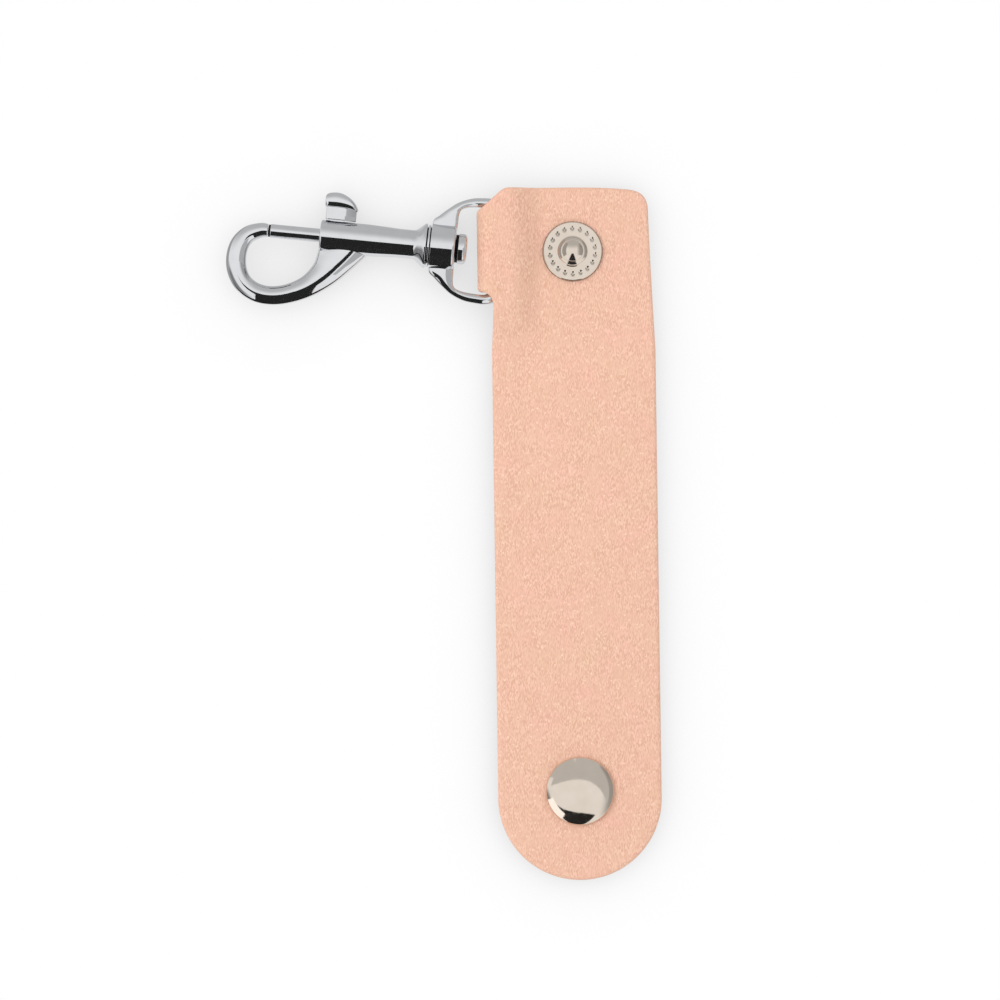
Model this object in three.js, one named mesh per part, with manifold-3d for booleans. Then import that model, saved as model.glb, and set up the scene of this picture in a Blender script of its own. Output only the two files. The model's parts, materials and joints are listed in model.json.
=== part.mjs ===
// Leather keychain: a strap that snaps shut as a loop, with a swivel bolt hook on a folded side tab.
// Millimetres. Origin on the snap stud's axis, on the surface the keychain lies on.
// +X is across the strap, away from the hook; +Y is up the strap; +Z is out of its front face.
import * as THREE from "three";
import { mergeVertices } from "three/addons/utils/BufferGeometryUtils.js";
import Module from "manifold-3d";

const wasm = await Module();
wasm.setup();

// Strap
const STRAP_WIDTH = 30;
const LEATHER = 1.6; // thickness
const STRAP_TOP = 11.8; // upper edge, above the stud axis
const HEAD_LENGTH = 18; // stud axis to the first bend line
const SNAP_SPACING = 99; // stud axis to cap axis
const TIP_LEVER = 14; // last bend line to cap axis
const TIP_OVERHANG = 1.4; // cap axis to the centre of the round end
const LINK_COUNT = 10; // bend lines between the stiff head and the stiff tip, less the last
const BEND_GAP = 0.1; // between neighbouring lengths of leather
const UPPER_RIGHT = 13.95; // the right edge draws in beside the stud
const CORNER = { x: 10.6, y: 7.8, fall: 0.55 }; // upper right corner, and how far the top edge falls to it

// Side tab, folded back around the bar of the eye
const FOLD_INNER = 1.25; // inner radius of the fold
const FOLD_LEFT = -17.5; // outermost line of the fold
const FOLD_TOP = 7.85;
const FOLD_BOTTOM = -7.25;
const SLANT_START = -12.4; // where the upper edge starts to slope down to the fold
const KNEE = { x: -15.1, y: 9.45 }; // the slope eases here
const NOTCH = { x: -14.6, y: -9.7 }; // inner corner under the tab
const TONGUE_HALF = 7.2; // half width of the layer behind the strap
const LIFT_LEFT = -11.7; // the front layer is at its highest up to here
const LIFT_RIGHT = -5.6; // and lies flat from here
const FADE_LOW = -18; // the lift dies out down the strap
const FADE_HIGH = -9;

// Levels above the surface that the keychain lies on
const POST_HEAD = 1.0; // head of the stud's post, which it lies on
const LAYER_GAP = 0.15; // between tongue and strap
const TONGUE_TOP = POST_HEAD + LEATHER;
const STRAP_BACK = TONGUE_TOP + LAYER_GAP;
const STRAP_FRONT = STRAP_BACK + LEATHER;
const STRAP_MID = STRAP_BACK + LEATHER / 2;
const SEAT = 0.05; // air between parts that are pressed together
const BAR_LEVEL = 4.15; // axis of bar and hook
const CREST_MID = BAR_LEVEL + FOLD_INNER + LEATHER / 2;
const FOLD_AXIS = FOLD_LEFT + FOLD_INNER + LEATHER;

// Snap fastener
const STUD_FLANGE = 5.5; // radius
const STUD_SHANK = 1.0;
const STUD_HOLE = 1.2;
const CAP_RADIUS = 6.25;
const CAP_HEIGHT = 2.25;
const SOCKET_RADIUS = 5.4;
const CAP_TUBE = 1.9;
const CAP_HOLE = 2.05;
const RING_RADIUS = 2.05; // spring ring, middle of its wire
const RING_WIRE = 0.3;
const RING_LEVEL = 0.95;
const RING_GAP = 0.5; // opening of the split ring, radians

// Hook and eye, along the hook's own axis from the bar, which is at zero
const HOOK_YAW = THREE.MathUtils.degToRad(6.3); // the hook lies a little askew to the strap
const BAR_X = -13.8;
const EYE_INNER = 7.95; // half width inside the eye
const EYE_WIRE = 1.8;
const EYE_FACE = -7.65; // inner face of the boss
const BOSS_END = -12.05;
const BOSS_RADIUS = 4.1;
const BOSS_BORE = 1.75;
const WASHER = { front: -12.3, back: -12.85, radius: 3.9 };
const BARREL_BACK = -13.1;
const BARREL_FRONT = -32.7;
const BARREL_RADIUS = 2.95;
const BARREL_WAIST = 2.65;
const CHAMBER = 1.95; // radius of the bore that holds the spring
const CHAMBER_FRONT = -31.2;
const PIN_RADIUS = 1.26; // bolt
const GUIDE = 1.42;
const NOSE = -41.8; // end of the hook that the bolt closes against
const NOSE_GAP = 0.25;
const STROKE = 7.5;
const PLUNGER_HEAD = { front: -31, back: -27.2, radius: 1.75 };
const PILOT = { back: -25.6, radius: 1.0 };
const SWIVEL_SHAFT = 1.6;
const SWIVEL_END = -15.9;
const SPRING = { front: -26.9, back: -16.2, radius: 1.45, wire: 0.18, turns: 7 };
const TAB_NECK = { front: -31.1, back: -28.5, half: 0.6 };
const NECK_CLEARANCE = 0.25;

const ROUND = 28; // sides of turned pieces

const finish = (color, roughness, metalness) => () =>
  new THREE.MeshStandardMaterial({ color, roughness, metalness });
const leather = finish("#f3c3aa", 0.62, 0);
const nickel = finish("#cfc6b8", 0.22, 1);
const chrome = finish("#d9dbde", 0.08, 1);
const steel = finish("#a9abad", 0.35, 1);

// A closed geometry as a solid, and a solid as a geometry
function solidOf(geometry) {
  const bare = geometry.clone();
  bare.deleteAttribute("normal");
  bare.deleteAttribute("uv");
  const merged = mergeVertices(bare, 1e-4);
  return new wasm.Manifold(
    new wasm.Mesh({
      numProp: 3,
      vertProperties: new Float32Array(merged.attributes.position.array),
      triVerts: new Uint32Array(merged.index.array),
    }),
  );
}

function geometryOf(solid) {
  const mesh = solid.getMesh();
  const geometry = new THREE.BufferGeometry();
  geometry.setAttribute("position", new THREE.BufferAttribute(mesh.vertProperties, 3));
  geometry.setIndex(new THREE.BufferAttribute(mesh.triVerts, 1));
  geometry.computeVertexNormals();
  return geometry;
}

const union = (...geometries) => geometries.map(solidOf).reduce((whole, next) => whole.add(next));

function part(name, shape, material) {
  const geometry = shape.isBufferGeometry ? shape : geometryOf(shape);
  const mesh = new THREE.Mesh(geometry, material);
  mesh.name = name;
  return mesh;
}

// A box between two corners
function box([x0, y0, z0], [x1, y1, z1]) {
  const geometry = new THREE.BoxGeometry(x1 - x0, y1 - y0, z1 - z0);
  return geometry.translate((x0 + x1) / 2, (y0 + y1) / 2, (z0 + z1) / 2);
}

// A flat outline given thickness from one level to another
function prism(shape, bottom, top, curveSegments = 12) {
  const depth = top - bottom;
  const geometry = new THREE.ExtrudeGeometry(shape, { depth, bevelEnabled: false, curveSegments });
  return geometry.translate(0, 0, bottom);
}

// A turned piece about Z, from pairs of radius and height that run up its outside and back inside
function turned(profile, sides = ROUND) {
  const closed = profile[0][0] === 0 ? profile : [...profile, profile[0]];
  const points = closed.map(([radius, height]) => new THREE.Vector2(radius, height));
  return new THREE.LatheGeometry(points, sides).rotateX(Math.PI / 2);
}

// A turned piece about the hook's axis, with the same pairs of radius and place along it
function turnedAlong(profile, sides = ROUND) {
  return turned(profile, sides).rotateY(Math.PI / 2);
}

// A closed surface from rings of an equal, even number of points, with a ladder of faces at each end
function loft(rings) {
  const sides = rings[0].length;
  const triangles = [];
  for (let ring = 0; ring + 1 < rings.length; ring += 1) {
    for (let side = 0; side < sides; side += 1) {
      const a = ring * sides + side;
      const b = ring * sides + ((side + 1) % sides);
      triangles.push(a, b, b + sides, a, b + sides, a + sides);
    }
  }
  const end = (rings.length - 1) * sides;
  for (let a = 0; a + 1 < sides / 2; a += 1) {
    const b = a + 1;
    const d = sides - 1 - a;
    const c = d - 1;
    triangles.push(a, c, b, a, d, c);
    triangles.push(end + a, end + b, end + c, end + a, end + c, end + d);
  }
  const geometry = new THREE.BufferGeometry().setFromPoints(rings.flat());
  geometry.setIndex(triangles);
  geometry.computeVertexNormals();
  return geometry;
}

const smooth = (value) => THREE.MathUtils.smoothstep(value, 0, 1);

// Height of the strap's middle surface: raised over the bar, flat under the stud and down the strap
function middle(x, y) {
  const across = 1 - smooth((x - LIFT_LEFT) / (LIFT_RIGHT - LIFT_LEFT));
  const along = smooth((y - FADE_LOW) / (FADE_HIGH - FADE_LOW));
  return STRAP_MID + (CREST_MID - STRAP_MID) * across * along;
}

// A sheet of leather over a grid, half its thickness to each side of the middle surface
function sheet(xs, ys) {
  const step = 0.01;
  const offset = (x, y, side) => {
    const slopeX = (middle(x + step, y) - middle(x - step, y)) / (2 * step);
    const slopeY = (middle(x, y + step) - middle(x, y - step)) / (2 * step);
    const normal = new THREE.Vector3(-slopeX, -slopeY, 1).normalize();
    return new THREE.Vector3(x, y, middle(x, y)).addScaledVector(normal, (side * LEATHER) / 2);
  };
  // each ring runs along the sheet's upper face and back along its lower face
  const rings = ys.map((y) => [
    ...xs.map((x) => offset(x, y, 1)),
    ...[...xs].reverse().map((x) => offset(x, y, -1)),
  ]);
  return loft(rings);
}

// Evenly spaced numbers, both ends among them
function span(from, to, count) {
  return Array.from({ length: count + 1 }, (_, i) => from + ((to - from) * i) / count);
}

// Upper end of the strap: front layer, fold and tongue in one piece of leather
function strapHead() {
  const right = STRAP_WIDTH / 2;
  const xs = [-16, -13, ...span(LIFT_LEFT, LIFT_RIGHT, 8), 5, right + 1];
  const ys = [...span(-HEAD_LENGTH + BEND_GAP / 2, FADE_HIGH, 7), 0, STRAP_TOP + 1];
  const outline = new THREE.Shape();
  outline.moveTo(-right, -HEAD_LENGTH);
  outline.lineTo(right, -HEAD_LENGTH);
  outline.quadraticCurveTo(UPPER_RIGHT + 0.25, -2, UPPER_RIGHT, CORNER.y);
  outline.quadraticCurveTo(UPPER_RIGHT - 0.2, STRAP_TOP - 0.95, CORNER.x, STRAP_TOP - CORNER.fall);
  outline.quadraticCurveTo(6.3, STRAP_TOP, -2, STRAP_TOP);
  outline.lineTo(SLANT_START, STRAP_TOP);
  outline.lineTo(KNEE.x, KNEE.y);
  outline.lineTo(FOLD_LEFT, FOLD_TOP);
  outline.lineTo(FOLD_LEFT, FOLD_BOTTOM);
  outline.quadraticCurveTo(NOTCH.x - 0.3, FOLD_BOTTOM - 0.25, NOTCH.x, NOTCH.y);
  const front = solidOf(sheet(xs, ys));
  const ceiling = CREST_MID + LEATHER;
  const footprint = solidOf(prism(outline, -1, ceiling));
  const rightOfFold = solidOf(box([FOLD_AXIS, NOTCH.y, -1], [right + 2, STRAP_TOP + 2, ceiling]));
  const belowTab = solidOf(box([-right - 1, -HEAD_LENGTH - 1, -1], [right + 2, NOTCH.y, ceiling]));
  const strap = front.intersect(footprint).intersect(rightOfFold.add(belowTab));

  // section of fold and tongue, drawn in X and Z
  const outer = FOLD_INNER + LEATHER;
  const section = new THREE.Shape();
  const joint = FOLD_AXIS + 1;
  const flatFrom = -8;
  section.moveTo(joint, BAR_LEVEL + FOLD_INNER);
  section.lineTo(joint, BAR_LEVEL + outer);
  section.lineTo(FOLD_AXIS, BAR_LEVEL + outer);
  section.absarc(FOLD_AXIS, BAR_LEVEL, outer, Math.PI / 2, -Math.PI / 2, false);
  section.lineTo(flatFrom, POST_HEAD + SEAT);
  section.lineTo(TONGUE_HALF, POST_HEAD + SEAT);
  section.lineTo(TONGUE_HALF, TONGUE_TOP);
  section.lineTo(flatFrom, TONGUE_TOP);
  section.lineTo(FOLD_AXIS, BAR_LEVEL - FOLD_INNER);
  section.absarc(FOLD_AXIS, BAR_LEVEL, FOLD_INNER, -Math.PI / 2, Math.PI / 2, true);
  const reach = STRAP_TOP;
  const ribbon = solidOf(prism(section, -reach, reach, 10).rotateX(Math.PI / 2));
  const tongue = new THREE.Shape();
  tongue.moveTo(FOLD_LEFT - 1, -TONGUE_HALF);
  tongue.lineTo(0, -TONGUE_HALF);
  tongue.absarc(0, 0, TONGUE_HALF, -Math.PI / 2, Math.PI / 2, false);
  tongue.lineTo(FOLD_LEFT - 1, TONGUE_HALF);
  const upper = footprint.intersect(solidOf(box([-20, -reach, BAR_LEVEL], [20, reach, ceiling])));
  const lower = solidOf(prism(tongue, -1, BAR_LEVEL));
  const folded = ribbon.intersect(upper.add(lower));

  // beside the fold the leather lies over the arms of the eye
  const armTop = BAR_LEVEL + FOLD_INNER - 0.1;
  const armLow = solidOf(box([-20, -10, -1], [LIFT_LEFT, FOLD_BOTTOM, armTop]));
  const armHigh = solidOf(box([-20, TONGUE_HALF + 0.3, -1], [LIFT_LEFT, STRAP_TOP, armTop]));
  const hole = solidOf(turned([[0, -1], [STUD_HOLE, -1], [STUD_HOLE, 8], [0, 8]]));
  return strap.add(folded).subtract(armLow).subtract(armHigh).subtract(hole);
}

// One length of strap between two bend lines
function strapLink(number) {
  const last = SNAP_SPACING - TIP_LEVER;
  const pitch = (last - HEAD_LENGTH) / LINK_COUNT;
  const upper = -HEAD_LENGTH - (number - 1) * pitch - BEND_GAP / 2;
  const lower = upper - pitch + BEND_GAP;
  return box([-STRAP_WIDTH / 2, lower, STRAP_BACK], [STRAP_WIDTH / 2, upper, STRAP_FRONT]);
}

// Lower end of the strap, with its round end
function strapTip() {
  const half = STRAP_WIDTH / 2;
  const upper = -SNAP_SPACING + TIP_LEVER - BEND_GAP / 2;
  const outline = new THREE.Shape();
  outline.moveTo(half, upper);
  outline.lineTo(-half, upper);
  outline.absarc(0, -SNAP_SPACING - TIP_OVERHANG, half, Math.PI, 2 * Math.PI, false);
  const hole = new THREE.Path();
  hole.absarc(0, -SNAP_SPACING, CAP_HOLE, 0, 2 * Math.PI, true);
  outline.holes.push(hole);
  return prism(outline, STRAP_BACK, STRAP_FRONT, 18);
}

// Male half of the snap: flange, step, neck and ball, hollow for its post
function snapStud() {
  const base = STRAP_FRONT + SEAT;
  const profile = [
    [STUD_HOLE, 0], [STUD_FLANGE - 0.2, 0], [STUD_FLANGE, 0.2], [STUD_FLANGE, 0.4],
    [STUD_FLANGE - 0.25, 0.6], [2.65, 0.6], [2.65, 1.0], [2.5, 1.1], [1.5, 1.1], [1.45, 1.5],
    [1.7, 1.75], [1.8, 2.05], [1.65, 2.5], [1.15, 2.9], [0.55, 3.07], [0, 3.1], [0, 2.15],
    [STUD_HOLE, 2.15],
  ];
  return turned(profile).translate(0, 0, base);
}

// Rivet that holds strap, tongue and stud together; the keychain lies on its flat head
function studPost() {
  const shankEnd = STRAP_FRONT + 1.9;
  return turned([
    [0, 0], [4.5, 0], [5.0, 0.25], [5.2, 0.6], [5.0, POST_HEAD], [STUD_SHANK, POST_HEAD],
    [STUD_SHANK, shankEnd], [0, shankEnd],
  ]);
}

// Domed cap, a thin shell that is open below
function snapCap() {
  const profile = [
    [CAP_RADIUS - 0.5, 0], [CAP_RADIUS - 0.1, 0.1], [CAP_RADIUS, 0.45], [CAP_RADIUS - 0.25, 0.85],
    [5.2, 1.4], [3.8, 1.88], [2.0, 2.17], [0, CAP_HEIGHT], [0, CAP_HEIGHT - 0.45], [2.0, 1.72],
    [3.6, 1.45], [4.9, 1.0], [5.55, 0.6],
  ];
  return turned(profile).translate(0, 0, STRAP_FRONT + SEAT);
}

// Flanged tube under the cap, through the leather and flared inside the socket
function capPost() {
  const flange = STRAP_FRONT + SEAT;
  return turned([
    [1.4, 2.45], [1.85, 2.15], [2.3, 2.0], [2.7, 2.05], [2.7, 2.25], [CAP_TUBE, 2.35],
    [CAP_TUBE, flange], [4.8, flange], [4.8, flange + 0.4], [1.6, flange + 0.4], [1.4, flange + 0.2],
  ]);
}

// Female half of the snap: a round box with a wide mouth below and a seat for the spring ring
function snapSocket() {
  const top = STRAP_BACK - SEAT;
  return turned([
    [2.85, 0], [SOCKET_RADIUS - 0.5, 0], [SOCKET_RADIUS, 0.4], [SOCKET_RADIUS, 1.2], [4.9, 1.7],
    [4.9, top], [CAP_HOLE, top], [CAP_HOLE, 2.4], [3.1, 2.4], [3.1, 0.45], [2.85, 0.45],
  ]);
}

// Split ring of spring wire that grips the neck of the stud
function socketSpring() {
  const steps = 24;
  const sides = 8;
  const rings = span(RING_GAP / 2, 2 * Math.PI - RING_GAP / 2, steps).map((turn) =>
    span(0, 2 * Math.PI, sides).slice(0, sides).map((angle) => {
      const radius = RING_RADIUS + RING_WIRE * Math.cos(angle);
      const height = RING_LEVEL - RING_WIRE * Math.sin(angle);
      return new THREE.Vector3(radius * Math.cos(turn), radius * Math.sin(turn), height);
    }),
  );
  return loft(rings);
}

// Eye: a ring with one straight bar, cast in one with a boss for the swivel pin
function swivelEye() {
  // rounding the edges adds this much all round, so both outlines are drawn that much leaner
  const bevel = 0.5;
  const thick = EYE_WIRE - 2 * bevel;
  const bar = EYE_WIRE / 2 - bevel;
  const outer = EYE_INNER + EYE_WIRE - bevel;
  const inner = EYE_INNER + bevel;
  const bossEnd = BOSS_END + bevel;
  const bossFace = EYE_FACE - bevel;
  const shoulder = BOSS_RADIUS + 0.5;
  const outerCorner = 2.2;
  const innerCorner = 1;
  const outline = new THREE.Shape();
  outline.moveTo(bar, outerCorner - outer);
  outline.lineTo(bar, outer - outerCorner);
  outline.quadraticCurveTo(bar, outer, bar - outerCorner, outer);
  outline.bezierCurveTo(-6, outer, -9.8, 8.8, bossEnd, shoulder);
  outline.lineTo(bossEnd, -shoulder);
  outline.bezierCurveTo(-9.8, -8.8, -6, -outer, bar - outerCorner, -outer);
  outline.quadraticCurveTo(bar, -outer, bar, outerCorner - outer);
  const window = new THREE.Path();
  window.moveTo(-bar, innerCorner - inner);
  window.quadraticCurveTo(-bar, -inner, -bar - innerCorner, -inner);
  window.bezierCurveTo(-5, -inner, bossFace, -7.6, bossFace, -5);
  window.lineTo(bossFace, 5);
  window.bezierCurveTo(bossFace, 7.6, -5, inner, -bar - innerCorner, inner);
  window.quadraticCurveTo(-bar, inner, -bar, inner - innerCorner);
  outline.holes.push(window);
  const plate = new THREE.ExtrudeGeometry(outline, {
    depth: thick,
    bevelThickness: bevel,
    bevelSize: bevel,
    bevelSegments: 2,
    curveSegments: 8,
  }).translate(0, 0, -thick / 2);
  const edge = 0.4;
  const boss = turnedAlong([
    [0, BOSS_END], [BOSS_RADIUS - edge, BOSS_END], [BOSS_RADIUS, BOSS_END + edge],
    [BOSS_RADIUS, EYE_FACE - edge], [BOSS_RADIUS - edge, EYE_FACE], [0, EYE_FACE],
  ]);
  const bore = turnedAlong([
    [0, BOSS_END - 1], [BOSS_BORE, BOSS_END - 1], [BOSS_BORE, EYE_FACE + 1], [0, EYE_FACE + 1],
  ]);
  return union(plate, boss).subtract(solidOf(bore));
}

// Pin that the hook turns on: headed inside the eye, fixed in the barrel
function swivelPin() {
  return turnedAlong([
    [0, SWIVEL_END], [1.8, SWIVEL_END], [1.8, BARREL_BACK - 0.2], [SWIVEL_SHAFT, BARREL_BACK - 0.2],
    [SWIVEL_SHAFT, -7], [2.8, -7], [2.8, -6.1], [2.3, -5.5], [0, -5.4],
  ]);
}

function swivelWasher() {
  const { front, back, radius } = WASHER;
  return turnedAlong([[BOSS_BORE, back], [radius, back], [radius, front], [BOSS_BORE, front]]);
}

// Hook: barrel and bow in one casting, bored for bolt and spring and slotted for the thumb tab
function hookBody() {
  const barrel = turnedAlong([
    [0, BARREL_FRONT], [BARREL_RADIUS - 0.3, BARREL_FRONT], [BARREL_RADIUS, BARREL_FRONT + 0.4],
    [BARREL_RADIUS, -24], [BARREL_WAIST, -17], [BARREL_WAIST + 0.1, -15.6], [3.3, -14.5],
    [3.95, -13.7], [3.95, BARREL_BACK], [0, BARREL_BACK],
  ]);
  // middle line of the bow with its half width, from the nose round to the underside of the barrel
  const middleLine = new THREE.CatmullRomCurve3(
    [
      [NOSE, 0, 1.2], [-43.6, -0.12, 1.4], [-45.7, -1.0, 1.6], [-47.1, -2.8, 1.75],
      [-47.6, -5.2, 1.85], [-47.2, -7.8, 1.85], [-45.8, -10.1, 1.8], [-43.4, -11.5, 1.75],
      [-40.5, -11.8, 1.72], [-37.3, -11.1, 1.8], [-34.1, -9.5, 2.05], [-31.4, -7.1, 2.6],
      [-29.8, -4.0, 3.8], [-28.2, -1.4, 4.6],
    ].map((point) => new THREE.Vector3(...point)),
  );
  const sides = 12;
  const rings = middleLine.getSpacedPoints(32).map((point, i, all) => {
    const before = all[Math.max(i - 1, 0)];
    const after = all[Math.min(i + 1, all.length - 1)];
    const along = new THREE.Vector2(after.x - before.x, after.y - before.y).normalize();
    const width = point.z;
    const ringHalf = 1.85;
    const thick = Math.min(width, ringHalf) + 0.2 * Math.max(width - ringHalf, 0);
    return span(0, 2 * Math.PI, sides).slice(0, sides).map((angle) => {
      const out = width * Math.cos(angle);
      const height = thick * Math.sin(angle);
      return new THREE.Vector3(point.x - along.y * out, point.y + along.x * out, height);
    });
  });
  const bow = loft(rings);
  const guide = turnedAlong([
    [0, NOSE + 0.05], [GUIDE, NOSE + 0.05], [GUIDE, CHAMBER_FRONT], [CHAMBER, CHAMBER_FRONT],
    [CHAMBER, BARREL_BACK + 1], [0, BARREL_BACK + 1],
  ]);
  const { front, back, half } = TAB_NECK;
  const slotHalf = half + NECK_CLEARANCE;
  const slot = box(
    [front - NECK_CLEARANCE, 0, -slotHalf],
    [back + STROKE + NECK_CLEARANCE, BARREL_RADIUS + 1, slotHalf],
  );
  return union(barrel, bow).subtract(solidOf(guide)).subtract(solidOf(slot));
}

// Bolt, with a wider head that runs in the barrel and a pilot for the spring
function plunger() {
  const tip = NOSE + NOSE_GAP;
  const head = PLUNGER_HEAD;
  const bolt = turnedAlong([
    [0, tip], [0.95, tip], [PIN_RADIUS, tip + 0.3], [PIN_RADIUS, head.front], [head.radius, head.front],
    [head.radius, head.back], [PILOT.radius, head.back], [PILOT.radius, PILOT.back], [0, PILOT.back],
  ]);
  const { front, back, half } = TAB_NECK;
  const gap = 0.12;
  const pocket = box([front - gap, -0.3, -half - gap], [back + gap, head.radius + 1, half + gap]);
  return solidOf(bolt).subtract(solidOf(pocket));
}

// Thumb tab: a neck through the slot, a pillar and an overhanging cap
function thumbTab() {
  const { front, back, half } = TAB_NECK;
  const foot = BARREL_RADIUS + 0.15;
  const neck = box([front, -0.15, -half], [back, foot + 1, half]);
  const pillar = box([-31.9, foot, -1.6], [-26.4, 5.6, 1.6]);
  const profile = new THREE.Shape();
  profile.moveTo(-32.2, 5.7);
  profile.lineTo(-26.4, 5.2);
  profile.quadraticCurveTo(-26.1, 5.9, -27, 6.9);
  profile.quadraticCurveTo(-28.2, 8.1, -30.3, 8.05);
  profile.quadraticCurveTo(-32.1, 8.0, -32.2, 6.8);
  const cap = prism(profile, -2.1, 2.1, 6);
  return union(neck, pillar, cap);
}

// Return spring, one unbroken helix of wire
function plungerSpring() {
  const { front, back, radius, wire, turns } = SPRING;
  const stepsPerTurn = 12;
  const sides = 6;
  const centres = span(0, 1, turns * stepsPerTurn).map((part) => {
    const angle = part * turns * 2 * Math.PI;
    const along = front + wire + (back - front - 2 * wire) * part;
    return { angle, along };
  });
  const rings = centres.map(({ angle, along }) =>
    span(0, 2 * Math.PI, sides).slice(0, sides).map((side) => {
      const reach = radius + wire * Math.cos(side);
      const shift = -wire * Math.sin(side);
      return new THREE.Vector3(along + shift, reach * Math.cos(angle), reach * Math.sin(angle));
    }),
  );
  const points = centres.map(({ angle, along }) =>
    new THREE.Vector3(along, radius * Math.cos(angle), radius * Math.sin(angle)));
  let least = Infinity;
  points.forEach((point, i) => {
    points.slice(i + stepsPerTurn / 2).forEach((other) => {
      least = Math.min(least, point.distanceTo(other) - 2 * wire);
    });
  });
  console.log(`plunger_spring: least gap between turns ${least.toFixed(2)} mm`);
  return loft(rings);
}

const strap = new THREE.Group();
strap.add(part("strap_head", strapHead(), leather()));
for (let number = 1; number <= LINK_COUNT; number += 1) {
  strap.add(part(`strap_link_${String(number).padStart(2, "0")}`, strapLink(number), leather()));
}
strap.add(part("strap_tip", strapTip(), leather()));

const stud = new THREE.Group();
stud.add(part("snap_stud", snapStud(), nickel()));
stud.add(part("stud_post", studPost(), nickel()));

const cap = new THREE.Group();
cap.position.set(0, -SNAP_SPACING, 0);
cap.add(part("snap_cap", snapCap(), nickel()));
cap.add(part("cap_post", capPost(), nickel()));
cap.add(part("snap_socket", snapSocket(), nickel()));
cap.add(part("socket_spring", socketSpring(), steel()));

const hook = new THREE.Group();
hook.position.set(BAR_X, 0, BAR_LEVEL);
hook.rotation.z = -HOOK_YAW;
hook.add(part("swivel_eye", swivelEye(), chrome()));
hook.add(part("swivel_pin", swivelPin(), chrome()));
hook.add(part("swivel_washer", swivelWasher(), chrome()));
hook.add(part("hook_body", hookBody(), chrome()));
hook.add(part("plunger", plunger(), chrome()));
hook.add(part("thumb_tab", thumbTab(), chrome()));
hook.add(part("plunger_spring", plungerSpring(), steel()));

const keychain = new THREE.Group();
keychain.add(strap, stud, cap, hook);

export default keychain;
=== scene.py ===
"""Looks of a leather keychain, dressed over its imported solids.

A strap of natural leather snaps shut as a loop. Its side tab is folded round the bar of a swivel eye that
carries a chromed bolt hook. Sizes are millimetres in the row frame and become metres in each mesh.
"""
import json
import logging
from dataclasses import dataclass
from enum import Enum
from typing import Any, Sequence

import bmesh
import bpy
import numpy as np
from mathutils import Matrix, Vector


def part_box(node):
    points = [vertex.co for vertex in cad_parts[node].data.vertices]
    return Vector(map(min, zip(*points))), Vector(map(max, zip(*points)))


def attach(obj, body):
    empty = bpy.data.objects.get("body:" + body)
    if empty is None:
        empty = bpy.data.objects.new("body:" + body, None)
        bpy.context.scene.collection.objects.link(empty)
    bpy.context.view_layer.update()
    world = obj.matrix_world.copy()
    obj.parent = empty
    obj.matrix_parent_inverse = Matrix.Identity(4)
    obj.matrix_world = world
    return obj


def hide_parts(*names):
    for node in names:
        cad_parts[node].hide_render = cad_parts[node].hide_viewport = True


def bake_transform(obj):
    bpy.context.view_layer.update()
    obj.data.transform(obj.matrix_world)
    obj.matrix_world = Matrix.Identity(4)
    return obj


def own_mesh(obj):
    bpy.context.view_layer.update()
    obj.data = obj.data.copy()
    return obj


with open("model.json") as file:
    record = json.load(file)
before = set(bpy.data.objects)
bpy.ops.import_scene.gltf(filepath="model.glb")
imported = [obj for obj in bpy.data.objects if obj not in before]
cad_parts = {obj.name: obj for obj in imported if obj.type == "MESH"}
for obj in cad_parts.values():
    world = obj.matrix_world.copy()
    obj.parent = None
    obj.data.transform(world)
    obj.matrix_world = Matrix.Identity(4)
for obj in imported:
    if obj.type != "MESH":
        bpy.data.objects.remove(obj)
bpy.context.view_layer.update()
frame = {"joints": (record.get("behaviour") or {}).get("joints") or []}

Array = np.ndarray
Points = Sequence[tuple[float, ...]]
Skin = tuple[Array, Array]  # points and faces
Span = tuple[float, float]
Thing = bpy.types.Object
Socket = bpy.types.NodeSocket
Tree = bpy.types.NodeTree
MM = 0.001
JOINTS = {joint["name"]: joint for joint in frame["joints"]}
log = logging.getLogger("keychain")


class Slot(Enum):
    """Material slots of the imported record."""

    LEATHER = "leather"
    NICKEL = "nickel"
    CHROME = "chrome"
    SPRING = "spring_steel"


class Crowd(Enum):
    """Where a run of numbers lies closest together."""

    BOTH_ENDS = 0.0
    LAST_END = 0.5


def linear(colour: str) -> tuple[float, float, float, float]:
    """Turns an sRGB hex colour into linear red, green, blue and alpha.

    Args:
        colour: Six hex digits after a hash sign.

    Returns:
        Four numbers from 0 to 1.
    """
    value = np.array([int(colour[i : i + 2], 16) for i in (1, 3, 5)]) / 255
    light = np.where(value <= 0.04045, value / 12.92, ((value + 0.055) / 1.055) ** 2.4)
    return (*light.tolist(), 1.0)


def add_node(tree: Tree, kind: str, inputs: dict | None = None, **settings: Any) -> bpy.types.NodeOutputs:
    """Adds a node, sets its properties and fills its sockets.

    Args:
        tree: Node tree that takes the node.
        kind: Blender's name for the node type, less its first word.
        inputs: Socket name or number, with a constant or an output socket to link from.
        settings: Properties of the node itself.

    Returns:
        The new node's outputs.
    """
    node = tree.nodes.new(f"ShaderNode{kind}")
    for key, value in settings.items():
        setattr(node, key, value)
    for key, value in (inputs or {}).items():
        if isinstance(value, Socket):
            tree.links.new(value, node.inputs[key])
        else:
            node.inputs[key].default_value = value
    return node.outputs


def noise(tree: Tree, vector: Socket, size: float, **inputs: float) -> Socket:
    """Adds noise with a grain size in millimetres."""
    return add_node(tree, "TexNoise", {"Vector": vector, "Scale": 1 / (size * MM), **inputs})["Fac"]


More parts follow.
